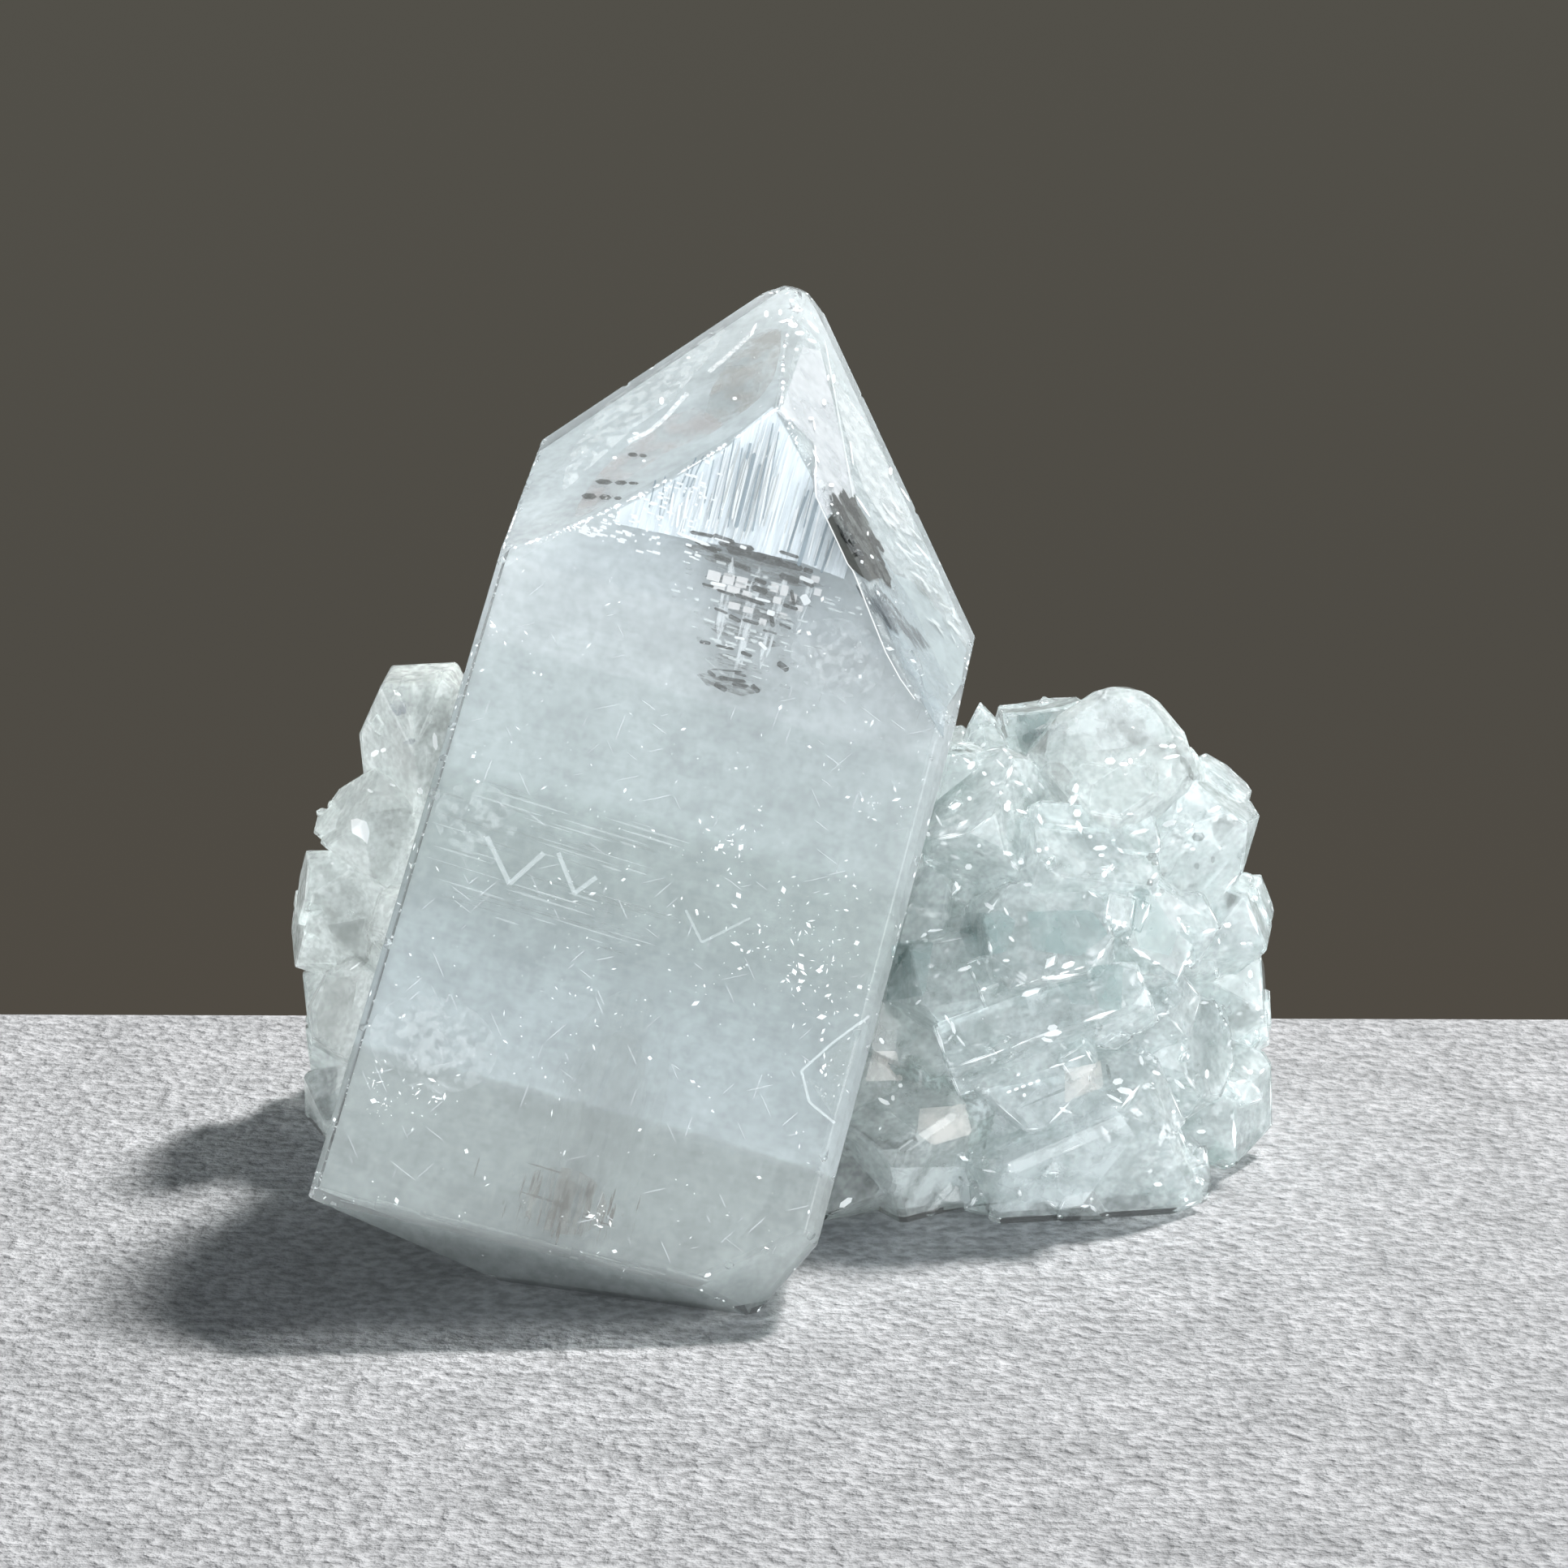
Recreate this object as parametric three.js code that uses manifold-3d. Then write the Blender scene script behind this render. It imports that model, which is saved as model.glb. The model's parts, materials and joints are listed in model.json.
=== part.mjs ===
// Apophyllite crystal: one large tetragonal prism with a four-sided point, leaning back on two lobes
// of smaller intergrown crystals. All of it grew together, so it is one solid. Millimetres, +Z up.
import * as THREE from 'three';
import { ConvexGeometry } from 'three/addons/geometries/ConvexGeometry.js';
import { mergeVertices } from 'three/addons/utils/BufferGeometryUtils.js';
import Module from 'manifold-3d';

const wasm = await Module();
wasm.setup();

const DEG = Math.PI / 180;

// The large crystal, in its own frame: z runs up its axis and z = 0 is the point where the faces
// of its tip would meet. Distances are from the axis to the prism faces.
const FRONT = 8.0;
const BACK = 9.5;
const LEFT = 9.6;
const RIGHT = 12.6;
const LENGTH = 51.95;           // from the ideal point down to the cleaved foot
const POINT_SLOPE = 60.4;       // angle between a face of the tip and the base, degrees
const TIP_LOSS = 1.0;           // how much of the ideal point is missing
const LEAN_BACK = 32.25;        // degrees
const LEAN_RIGHT = 17.4;
const SPIN = -4.5;

// The lower front corner, where the large crystal stands, is the origin while the group is built.
const IDEAL_POINT = new THREE.Vector3(2.5, 32.0, 41.9);

// The lobes of small crystals behind it: centre and half sizes of each mound, how many crystals
// cover it, and the range of their widths.
const LOBES = {
  right: { centre: [12.4, 25.2, 4.0], half: [10.6, 11.6, 15.4], count: 48, widths: [3.0, 6.0] },
  left: { centre: [-13.4, 29.0, 4.0], half: [7.0, 7.8, 13.2], count: 40, widths: [2.6, 4.6] },
  middle: { centre: [-1.0, 28.4, 3.0], half: [12.0, 8.4, 10.5], count: 28, widths: [3.4, 6.2] },
};

// The crystals that stand out: middle, width, depth and height, the way the axis points, and its spin.
const LARGE_BLOCKS = [
  // right lobe, from the top plate down to the foot
  { at: [17.2, 20.0, 20.1], size: [6.6, 6.4, 3.8], axis: [0.05, -0.74, 0.6], spin: 38, cut: 1.3 },
  { at: [11.2, 24.0, 19.0], size: [2.8, 2.8, 6.4], axis: [-0.1, 0.0, 1.0], spin: 30, cut: 2.2 },
  { at: [14.4, 26.0, 18.6], size: [4.0, 3.4, 5.8], axis: [-0.15, 0.1, 1.0], spin: 8, cut: 0.7 },
  { at: [11.6, 18.6, 17.2], size: [5.6, 4.4, 5.8], axis: [-0.5, -0.35, 0.75], spin: 62, cut: 0.7 },
  { at: [20.6, 21.4, 16.6], size: [5.2, 5.0, 5.4], axis: [0.6, -0.1, 0.75], spin: 25, cut: 1.2 },
  { at: [13.6, 15.4, 12.8], size: [6.0, 5.0, 4.6], axis: [0.1, -0.8, 0.5], spin: 14, cut: 1.0 },
  { at: [22.2, 22.0, 11.6], size: [4.2, 4.4, 4.8], axis: [0.9, -0.2, 0.35], spin: 40, cut: 1.4 },
  { at: [22.6, 23.4, 7.6], size: [4.4, 4.2, 4.6], axis: [0.98, -0.1, 0.1], spin: 10, cut: 1.2 },
  { at: [22.4, 25.4, 3.4], size: [4.6, 4.4, 4.6], axis: [0.95, 0.0, -0.1], spin: 33, cut: 1.0 },
  { at: [15.4, 17.0, 15.8], size: [6.4, 4.0, 4.4], axis: [0.35, -0.6, 0.7], spin: 15, cut: 0.6 },
  { at: [18.6, 16.8, 12.8], size: [5.2, 5.2, 3.4], axis: [0.5, -0.8, 0.3], spin: 40, cut: 1.7 },
  { at: [13.8, 13.6, 9.2], size: [2.8, 2.6, 10.0], axis: [0.94, 0.05, 0.33], spin: 45, cut: 0.5 },
  { at: [13.6, 14.4, 12.0], size: [2.2, 2.0, 6.6], axis: [0.93, 0.1, 0.36], spin: 40, cut: 0.4 },
  { at: [15.4, 15.6, 2.2], size: [9.6, 6.8, 6.6], axis: [-0.36, -0.3, 0.86], spin: 6, cut: 1.2 },
  { at: [7.4, 15.2, 2.4], size: [5.4, 5.6, 6.4], axis: [-0.2, -0.4, 0.9], spin: 35, cut: 0.8 },
  // left lobe, from the top block down
  { at: [-15.9, 29.2, 18.2], size: [4.8, 4.6, 8.4], axis: [-0.08, -0.05, 1.0], spin: 40, cut: 1.5 },
  { at: [-17.8, 28.4, 14.4], size: [4.6, 4.6, 5.2], axis: [-0.7, -0.3, 0.6], spin: 22, cut: 1.2 },
  { at: [-19.6, 28.6, 9.9], size: [5.4, 5.0, 5.4], axis: [-0.95, -0.2, 0.2], spin: 38, cut: 1.4 },
  { at: [-19.5, 28.6, 5.0], size: [5.0, 4.6, 5.0], axis: [-0.97, -0.1, -0.1], spin: 15, cut: 1.2 },
  { at: [-18.6, 29.6, 1.4], size: [4.4, 4.4, 4.4], axis: [-0.9, 0.1, -0.2], spin: 30, cut: 1.1 },
  // the side that faces away
  { at: [-7.0, 34.4, 8.6], size: [5.8, 5.8, 10.5], axis: [-0.25, 0.8, 0.5], spin: 20, cut: 3.2 },
  { at: [4.6, 35.0, 5.6], size: [5.0, 5.2, 8.6], axis: [0.25, 0.9, 0.3], spin: 42, cut: 2.8 },
  { at: [13.6, 33.0, 11.4], size: [5.6, 5.2, 9.2], axis: [0.5, 0.65, 0.6], spin: 10, cut: 2.6 },
  { at: [-0.6, 33.2, 14.4], size: [4.6, 4.6, 7.6], axis: [0.1, 0.7, 0.75], spin: 28, cut: 2.4 },
];

/** Numbers from 0 to 1 that are the same on every run. */
function seeded(seed) {
  let state = seed;
  return () => {
    state = (state + 0x6d2b79f5) | 0;
    let t = Math.imul(state ^ (state >>> 15), 1 | state);
    t = (t + Math.imul(t ^ (t >>> 7), 61 | t)) ^ t;
    return ((t ^ (t >>> 14)) >>> 0) / 4294967296;
  };
}

/** A face as a plane: its outward direction and its distance from the crystal's origin. */
function face(x, y, z, distance) {
  const direction = new THREE.Vector3(x, y, z);
  const size = direction.length();
  return new THREE.Plane(direction.divideScalar(size), -distance);
}

/** A face that leans by slope degrees from level, looking towards the given compass angle. */
function slopedFace(compass, slope, distance) {
  const side = Math.sin(slope * DEG);
  return face(side * Math.cos(compass * DEG), side * Math.sin(compass * DEG), Math.cos(slope * DEG), distance);
}

/** The point that three planes share, or null where two of them are parallel. */
function meetingPoint(a, b, c) {
  const across = new THREE.Vector3().crossVectors(b.normal, c.normal);
  const volume = a.normal.dot(across);
  if (Math.abs(volume) < 1e-6) return null;
  const point = across.multiplyScalar(-a.constant);
  point.addScaledVector(new THREE.Vector3().crossVectors(c.normal, a.normal), -b.constant);
  point.addScaledVector(new THREE.Vector3().crossVectors(a.normal, b.normal), -c.constant);
  return point.divideScalar(volume);
}

/** The convex crystal that a set of faces encloses. */
function crystalGeometry(faces) {
  const corners = [];
  for (let i = 0; i < faces.length; i += 1) {
    for (let j = i + 1; j < faces.length; j += 1) {
      for (let k = j + 1; k < faces.length; k += 1) {
        const point = meetingPoint(faces[i], faces[j], faces[k]);
        const inside = point && faces.every((plane) => plane.distanceToPoint(point) < 1e-5);
        const known = inside && corners.some((corner) => corner.distanceTo(point) < 1e-3);
        if (inside && !known) corners.push(point);
      }
    }
  }
  return new ConvexGeometry(corners);
}

/** A closed geometry as a solid that can be joined and cut. */
function solidOf(geometry) {
  const bare = geometry.clone();
  bare.deleteAttribute('normal');
  bare.deleteAttribute('uv');
  const merged = mergeVertices(bare, 1e-4);
  const vertProperties = new Float32Array(merged.attributes.position.array);
  const triVerts = new Uint32Array(merged.index.array);
  return new wasm.Manifold(new wasm.Mesh({ numProp: 3, vertProperties, triVerts }));
}

/** A solid as a flat-shaded geometry. */
function geometryOf(solid) {
  const mesh = solid.getMesh();
  const geometry = new THREE.BufferGeometry();
  geometry.setAttribute('position', new THREE.BufferAttribute(mesh.vertProperties, 3));
  geometry.setIndex(new THREE.BufferAttribute(mesh.triVerts, 1));
  return geometry;
}

/** The outer surface alone: small voids shut in between crystals are grown full. */
function withoutVoids(geometry) {
  const corners = geometry.index.array;
  const parent = Array.from({ length: geometry.attributes.position.count }, (_, i) => i);
  const rootOf = (i) => {
    let root = i;
    while (parent[root] !== root) root = parent[root];
    parent[i] = root;
    return root;
  };
  for (let i = 0; i < corners.length; i += 3) {
    parent[rootOf(corners[i + 1])] = rootOf(corners[i]);
    parent[rootOf(corners[i + 2])] = rootOf(corners[i]);
  }
  const sizes = new Map();
  for (const corner of corners) sizes.set(rootOf(corner), (sizes.get(rootOf(corner)) ?? 0) + 1);
  const outer = [...sizes.entries()].sort((a, b) => b[1] - a[1])[0][0];
  geometry.setIndex(Array.from(corners).filter((corner) => rootOf(corner) === outer));
  return geometry;
}

/** The turn that takes the large crystal's own frame to the standing one. */
function leaningFrame() {
  const lean = new THREE.Matrix4().makeRotationY(LEAN_RIGHT * DEG);
  lean.multiply(new THREE.Matrix4().makeRotationX(-LEAN_BACK * DEG));
  lean.multiply(new THREE.Matrix4().makeRotationZ(SPIN * DEG));
  return lean.setPosition(IDEAL_POINT);
}

/** The large crystal: prism, point on the prism's edges, blunt tip, narrow bevels and broken foot. */
function largeCrystal() {
  const frame = leaningFrame();
  const toOwnFrame = frame.clone().invert();
  const prism = [
    face(0, -1, 0, FRONT),
    face(0, 1, 0, BACK),
    face(-1, 0, 0, LEFT),
    face(1, 0, 0, RIGHT),
  ];
  const point = [
    slopedFace(230, POINT_SLOPE - 0.7, 0),
    slopedFace(314.5, POINT_SLOPE - 1.9, 0),
    slopedFace(137.6, POINT_SLOPE + 5.2, 0.05),
    slopedFace(43, POINT_SLOPE + 4.2, -0.05),
  ];
  const tip = [
    face(0, 0, 1, -TIP_LOSS),
    slopedFace(180, 30, -TIP_LOSS * 0.98),
    slopedFace(0, 32, -TIP_LOSS * 1.02),
    slopedFace(270, 30, -TIP_LOSS * 0.98),
    slopedFace(90, 34, -TIP_LOSS * 0.98),
  ];
  const bevels = [
    face(-1, -1, 0, (LEFT + FRONT) / Math.SQRT2 - 0.28),
    face(1, -1, 0, (RIGHT + FRONT) / Math.SQRT2 - 0.5),
    face(-1, 1, 0, (LEFT + BACK) / Math.SQRT2 - 0.6),
    face(1, 1, 0, (RIGHT + BACK) / Math.SQRT2 - 0.4),
  ];
  const cleavedFoot = face(0.047, 0, -1, LENGTH);
  const chippedCorner = [
    face(0.568, -0.439, -0.692, 43.66),
    face(0.921, 0.193, -0.339, 26.6),
  ];
  const brokenLeft = new THREE.Plane().setFromNormalAndCoplanarPoint(
    new THREE.Vector3(-0.495, -0.209, -0.844),
    new THREE.Vector3(-11.9, 4.3, 0.36),
  );
  brokenLeft.applyMatrix4(toOwnFrame);
  const faces = [...prism, ...point, ...tip, ...bevels, cleavedFoot, ...chippedCorner, brokenLeft];
  return crystalGeometry(faces).applyMatrix4(frame);
}

/** A small crystal about its middle: a square block whose upper corners are cut by sloping faces. */
function smallCrystal([width, depth, height], cut) {
  const faces = [
    face(1, 0, 0, width / 2),
    face(-1, 0, 0, width / 2),
    face(0, 1, 0, depth / 2),
    face(0, -1, 0, depth / 2),
    face(0, 0, 1, height / 2),
    face(0, 0, -1, height / 2),
  ];
  const slope = POINT_SLOPE * DEG;
  const cornerDistance = ((width + depth) / 2 / Math.SQRT2) * Math.sin(slope) + (height / 2) * Math.cos(slope);
  for (const compass of [45, 135, 225, 315]) {
    faces.push(slopedFace(compass, POINT_SLOPE, cornerDistance - cut));
  }
  return crystalGeometry(faces);
}

/** A small crystal turned so that its axis points a given way, with its middle at a given place. */
function placedCrystal(size, cut, at, axis, spin) {
  const up = new THREE.Vector3(0, 0, 1);
  const turn = new THREE.Quaternion().setFromUnitVectors(up, axis.clone().normalize());
  turn.multiply(new THREE.Quaternion().setFromAxisAngle(up, spin * DEG));
  const place = new THREE.Matrix4().compose(at, turn, new THREE.Vector3(1, 1, 1));
  return solidOf(smallCrystal(size, cut).applyMatrix4(place));
}

/** The inner mass of a lobe, on which its crystals sit. */
function lobeBody({ centre, half }) {
  const body = new THREE.IcosahedronGeometry(1, 1);
  body.scale(half[0], half[1], half[2]);
  body.translate(centre[0], centre[1], centre[2]);
  return solidOf(body);
}

/** The crystals that cover a lobe, spread evenly over it by the golden angle. */
function lobeCrystals({ centre, half, count, widths }, random) {
  const crystals = [];
  const goldenAngle = Math.PI * (3 - Math.sqrt(5));
  for (let i = 0; i < count; i += 1) {
    const z = 1 - (1.3 * (i + 0.5)) / count;
    const reach = Math.sqrt(Math.max(0, 1 - z * z));
    const angle = i * goldenAngle + random() * 0.5;
    const way = new THREE.Vector3(Math.cos(angle) * reach, Math.sin(angle) * reach, z);
    const axis = new THREE.Vector3(way.x / half[0], way.y / half[1], way.z / half[2]).normalize();
    axis.x += (random() - 0.5) * 0.9;
    axis.y += (random() - 0.5) * 0.9;
    axis.z += (random() - 0.5) * 0.9;
    const width = widths[0] + (widths[1] - widths[0]) * random();
    const size = [width, width * (0.75 + 0.4 * random()), width * (1.0 + 0.5 * random())];
    const at = way.multiply(new THREE.Vector3(...half)).multiplyScalar(0.87);
    at.add(new THREE.Vector3(...centre));
    const cut = width * (0.14 + 0.3 * random());
    crystals.push(placedCrystal(size, cut, at, axis, random() * 90));
  }
  return crystals;
}

/** Everything below the level surface that the crystal stands on. */
function belowTheTable() {
  const box = new THREE.BoxGeometry(200, 200, 40);
  box.translate(0, 0, -20);
  return solidOf(box);
}

/** The shallow hollows that neighbouring crystals left in the underside, along its rim. */
function undersideHollows(random) {
  const hollows = [];
  const count = 11;
  for (let i = 0; i < count; i += 1) {
    const angle = (i / count) * 2 * Math.PI + 0.4 * random();
    const at = new THREE.Vector3(1.2 + 19.5 * Math.cos(angle), 25.5 + 10.0 * Math.sin(angle), -2.2);
    const axis = new THREE.Vector3(0.5 * (random() - 0.5), 0.5 * (random() - 0.5), 1);
    const width = 4.5 + 3 * random();
    hollows.push(placedCrystal([width, width * 0.8, 6], 1.4, at, axis, random() * 90));
  }
  return hollows;
}

/** The whole cluster as one solid. */
function cluster() {
  const random = seeded(7);
  let whole = solidOf(largeCrystal());
  for (const lobe of Object.values(LOBES)) {
    whole = whole.add(lobeBody(lobe));
    for (const crystal of lobeCrystals(lobe, random)) whole = whole.add(crystal);
  }
  for (const { at, size, axis, spin, cut } of LARGE_BLOCKS) {
    const crystal = placedCrystal(size, cut, new THREE.Vector3(...at), new THREE.Vector3(...axis), spin);
    whole = whole.add(crystal);
  }
  whole = whole.subtract(belowTheTable());
  for (const hollow of undersideHollows(random)) whole = whole.subtract(hollow);
  return whole;
}

const geometry = withoutVoids(geometryOf(cluster()));
geometry.computeBoundingBox();
const middle = geometry.boundingBox.getCenter(new THREE.Vector3());
geometry.translate(-middle.x, -middle.y, 0);

const crystalMaterial = new THREE.MeshStandardMaterial({ color: 0xc9d8d6, roughness: 0.12, metalness: 0 });
const apophyllite = new THREE.Mesh(geometry, crystalMaterial);
apophyllite.name = 'apophyllite_cluster';

const group = new THREE.Group();
group.add(apophyllite);
export default group;
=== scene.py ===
# %% [markdown]
# # Apophyllite crystal
# One large tetragonal prism with a four-sided point leans back on two lobes of small intergrown
# crystals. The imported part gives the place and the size. This lesson builds the surface that is
# seen, the clear and milky stone inside it, and the light that makes glassy stone readable.

# %% Load the part
import json
import math
from itertools import combinations

import bmesh
import bpy
import numpy as np
from mathutils import Matrix, Vector
from mathutils.bvhtree import BVHTree

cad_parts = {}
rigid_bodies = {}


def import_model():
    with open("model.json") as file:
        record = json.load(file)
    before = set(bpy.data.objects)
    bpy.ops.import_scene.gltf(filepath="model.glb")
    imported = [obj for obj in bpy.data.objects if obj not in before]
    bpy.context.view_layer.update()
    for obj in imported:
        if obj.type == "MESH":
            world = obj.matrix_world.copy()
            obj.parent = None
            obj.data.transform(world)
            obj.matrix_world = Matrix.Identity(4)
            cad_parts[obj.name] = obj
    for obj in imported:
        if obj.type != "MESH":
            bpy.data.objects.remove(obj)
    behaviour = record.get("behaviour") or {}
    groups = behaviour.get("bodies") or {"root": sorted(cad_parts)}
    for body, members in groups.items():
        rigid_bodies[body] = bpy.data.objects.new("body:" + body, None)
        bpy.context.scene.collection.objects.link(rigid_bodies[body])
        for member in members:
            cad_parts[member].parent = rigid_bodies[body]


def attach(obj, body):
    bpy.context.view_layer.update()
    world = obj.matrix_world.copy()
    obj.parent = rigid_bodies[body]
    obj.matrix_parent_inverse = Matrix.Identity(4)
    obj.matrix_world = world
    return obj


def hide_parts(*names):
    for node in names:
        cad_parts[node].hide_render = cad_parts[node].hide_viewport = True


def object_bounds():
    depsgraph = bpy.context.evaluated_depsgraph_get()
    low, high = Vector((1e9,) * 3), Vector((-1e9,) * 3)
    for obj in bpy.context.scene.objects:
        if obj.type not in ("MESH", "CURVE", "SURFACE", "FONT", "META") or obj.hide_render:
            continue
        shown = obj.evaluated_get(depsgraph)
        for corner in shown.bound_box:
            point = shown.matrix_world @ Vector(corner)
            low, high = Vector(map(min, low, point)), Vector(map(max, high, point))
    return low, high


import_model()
part_low, part_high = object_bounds()
NODE = "apophyllite_cluster"
MM = 0.001
print("part, mm:", [round((b - a) / MM, 2) for a, b in zip(part_low, part_high)])

# %% [markdown]
# ## Camera
# A long lens from a quarter of a metre, looking down by 15 degrees, keeps the prism's edges almost
# parallel. The lens could also be shorter and closer, but then the point would look too large. The
# camera's numbers and the large crystal's lean come from a fit that was made outside this lesson.

# %% Camera
LOOK_DOWN = 15.0
lens = bpy.data.cameras.new("camera")
lens.lens = 121.118
lens.sensor_width = 36.0
lens.clip_start = 0.01
lens.clip_end = 20.0
camera = bpy.data.objects.new("camera", lens)
camera.location = (0.000365, -0.23935, 0.08379)
camera.rotation_euler = (math.radians(90.0 - LOOK_DOWN), 0.0, 0.0)
bpy.context.scene.collection.objects.link(camera)
bpy.context.scene.camera = camera
print("camera distance, mm:", round(camera.location.length / MM, 1))

# %% [markdown]
# ## Node helpers
# Every material below is a small net of nodes. These helpers add a node, set its plain sockets and
# join it up, so that a finish reads as a list of what feeds what.


# %% Node helpers
def feed(tree, socket, value):
    """Joins a socket to what feeds it, or sets it to a plain value."""
    if isinstance(value, bpy.types.NodeSocket):
        tree.links.new(value, socket)
    else:
        socket.default_value = value


def add_node(tree, kind, **settings):
    """A new node: names that are sockets set or link its inputs, the rest are its own settings."""
    node = tree.nodes.new(kind)
    inputs = settings.pop("inputs", {})
    for name, value in settings.items():
        setattr(node, name, value)
    for name, value in inputs.items():
        feed(tree, node.inputs[name], value)
    return node


def do_math(tree, operation, a, b=0.0, c=0.0, clamp=False):
    """One Math node, whose result is returned."""
    node = add_node(tree, "ShaderNodeMath", operation=operation, use_clamp=clamp)
    for socket, value in zip(node.inputs, (a, b, c)):
        feed(tree, socket, value)
    return node.outputs[0]


def mix_colours(tree, factor, a, b, blend="MIX"):
    """One Mix node for colours, whose result is returned."""
    node = add_node(tree, "ShaderNodeMix", data_type="RGBA", blend_type=blend)
    for index, value in ((0, factor), (6, a), (7, b)):
        feed(tree, node.inputs[index], value)
    return node.outputs[2]


def noise(tree, place, scale, detail, **inputs):
    """One Noise node, whose value from 0 to 1 is returned."""
    inputs |= {"Vector": place, "Scale": scale, "Detail": detail}
    return add_node(tree, "ShaderNodeTexNoise", inputs=inputs).outputs["Fac"]


def principled(tree, output, inputs, **settings):
    """A Principled shader as the surface of the material."""
    shader = add_node(tree, "ShaderNodeBsdfPrincipled", inputs=inputs, **settings)
    tree.links.new(shader.outputs[0], output.inputs["Surface"])


def milky(tone, solid, depth):
    """The inputs that all milk shares: light scatters to the given depth in m, and nothing shines."""
    return {
        "Base Color": tone,
        "Roughness": 1.0,
        "Specular IOR Level": 0.0,
        "Subsurface Weight": 1.0,
        "Subsurface Radius": (1.0, 1.0, 1.0),
        "Subsurface Scale": depth,
        "Alpha": solid,
    }


def ramp(tree, factor, stops, interpolation="LINEAR"):
    """A colour ramp: stops are (place, grey value or colour)."""
    node = add_node(tree, "ShaderNodeValToRGB", inputs={"Fac": factor})
    node.color_ramp.interpolation = interpolation
    elements = node.color_ramp.elements
    while len(elements) < len(stops):
        elements.new(0.5)
    for element, (place, value) in zip(elements, stops):
        element.position = place
        element.color = (value, value, value, 1.0) if isinstance(value, float) else value
    return node.outputs["Color"]


def new_material(name):
    """An empty material and its node tree, with the output in place."""
    material = bpy.data.materials.new(name)
    material.use_nodes = True
    material.node_tree.nodes.clear()
    output = add_node(material.node_tree, "ShaderNodeOutputMaterial")
    return material, material.node_tree, output


def new_group(name, inputs, outputs):
    """An empty node group with the named inputs and outputs, its input node and its output node."""
    group = bpy.data.node_groups.new(name, "ShaderNodeTree")
    for label, kind, value in inputs:
        socket = group.interface.new_socket(name=label, in_out="INPUT", socket_type=kind)
        if value is not None:
            socket.default_value = value
    for label, kind in outputs:
        group.interface.new_socket(name=label, in_out="OUTPUT", socket_type=kind)
    entry = group.nodes.new("NodeGroupInput")
    leave = group.nodes.new("NodeGroupOutput")
    return group, entry, leave


VECTOR, NUMBER, COLOUR = "NodeSocketVector", "NodeSocketFloat", "NodeSocketColor"
print("node helpers ready")

# %% [markdown]
# ## Table, backdrop and light
# The crystal stands on a pale slab in front of something dark. Clear stone shows what is round it,
# so the dark backdrop shows in the point, and the pale slab fills the foot with light. The darkest
# windows in the point are painted shade as well: dark slabs under its faces. One strong lamp stands
# high on the right and a little behind, and a weak sky fills the rest.


# %% A profile carried along a line
def mesh_object(name, corners, faces, materials, smooth=False):
    """A mesh object at the origin from corners in metres and faces, with its materials."""
    mesh = bpy.data.meshes.new(name)
    mesh.from_pydata(np.asarray(corners).tolist(), [], [list(map(int, f)) for f in faces])
    for material in materials:
        mesh.materials.append(material)
    mesh.polygons.foreach_set("use_smooth", np.full(len(mesh.polygons), smooth))
    mesh.update()
    made = bpy.data.objects.new(name, mesh)
    bpy.context.scene.collection.objects.link(made)
    return made


def corner_places(mesh):
    """The mesh's corners as an array with a row of three for each."""
    places = np.empty(len(mesh.vertices) * 3)
    mesh.vertices.foreach_get("co", places)
    return places.reshape(-1, 3)


def set_corner_places(mesh, places):
    """Moves the mesh's corners to new places."""
    mesh.vertices.foreach_set("co", np.asarray(places).ravel())


def ball_mesh(fineness):
    """Corners and faces of a ball of radius 1, made of nearly even triangles."""
    ball = bmesh.new()
    bmesh.ops.create_icosphere(ball, subdivisions=fineness, radius=1.0)
    points = np.array([v.co for v in ball.verts])
    faces = [[v.index for v in f.verts] for f in ball.faces]
    ball.free()
    return points, faces


def grid_faces(rows, columns):
    """The four-cornered faces of a grid whose corners are numbered row by row."""
    r, c = np.mgrid[0 : rows - 1, 0 : columns - 1]
    first = (r * columns + c).ravel()
    return np.stack([first, first + 1, first + 1 + columns, first + columns], 1)


def slab_surface(edge_left, edge_right, half_width, front, radius):
    """A level slab seen from above. Across x it is straight. Along its profile it runs level from
    the front, then turns down round the back edge on a quarter circle, then falls straight. The
    back edge is a line from edge_left to edge_right, so each x has its own edge place."""
    level, round_edge, across = 12, 13, 9
    turn = np.linspace(0.0, np.pi / 2, round_edge)
    along = np.concatenate([np.linspace(front, -0.001, level), radius * np.sin(turn), [radius]])
    down = np.concatenate([np.zeros(level), radius * (np.cos(turn) - 1.0), [-0.2]])
    x = np.linspace(-half_width, half_width, across)
    share = (x + half_width) / (2 * half_width)
    edge = edge_left + (edge_right - edge_left) * share
    flat = np.repeat(edge[:, None], len(along), 1) - radius
    grid = np.stack([np.repeat(x[:, None], len(along), 1), flat + along, np.tile(down, (across, 1))], -1)
    return grid.reshape(-1, 3), grid_faces(across, len(along))


print("a slab of two by two corners has", len(grid_faces(2, 2)), "face")

# %% Table
table_finish, tree, output = new_material("pale_stone_table")
place = add_node(tree, "ShaderNodeTexCoord").outputs["Object"]
cloud = noise(tree, place, 220.0, 8.0, Roughness=0.75)
tone = ramp(tree, cloud, [(0.32, (0.62, 0.63, 0.65, 1)), (0.68, (0.94, 0.95, 0.98, 1))])
pits = noise(tree, place, 1500.0, 5.0)
specks = ramp(tree, pits, [(0.38, 0.74), (0.60, 1.12)])
tone = mix_colours(tree, 1.0, tone, specks, blend="MULTIPLY")
grain = add_node(tree, "ShaderNodeBump", inputs={"Strength": 1.0, "Distance": 0.0006, "Height": pits})
principled(tree, output, {"Base Color": tone, "Roughness": 0.85, "Normal": grain.outputs["Normal"]})
corners, faces = slab_surface(edge_left=0.0375, edge_right=0.0245, half_width=0.6, front=-0.5, radius=0.006)
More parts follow.
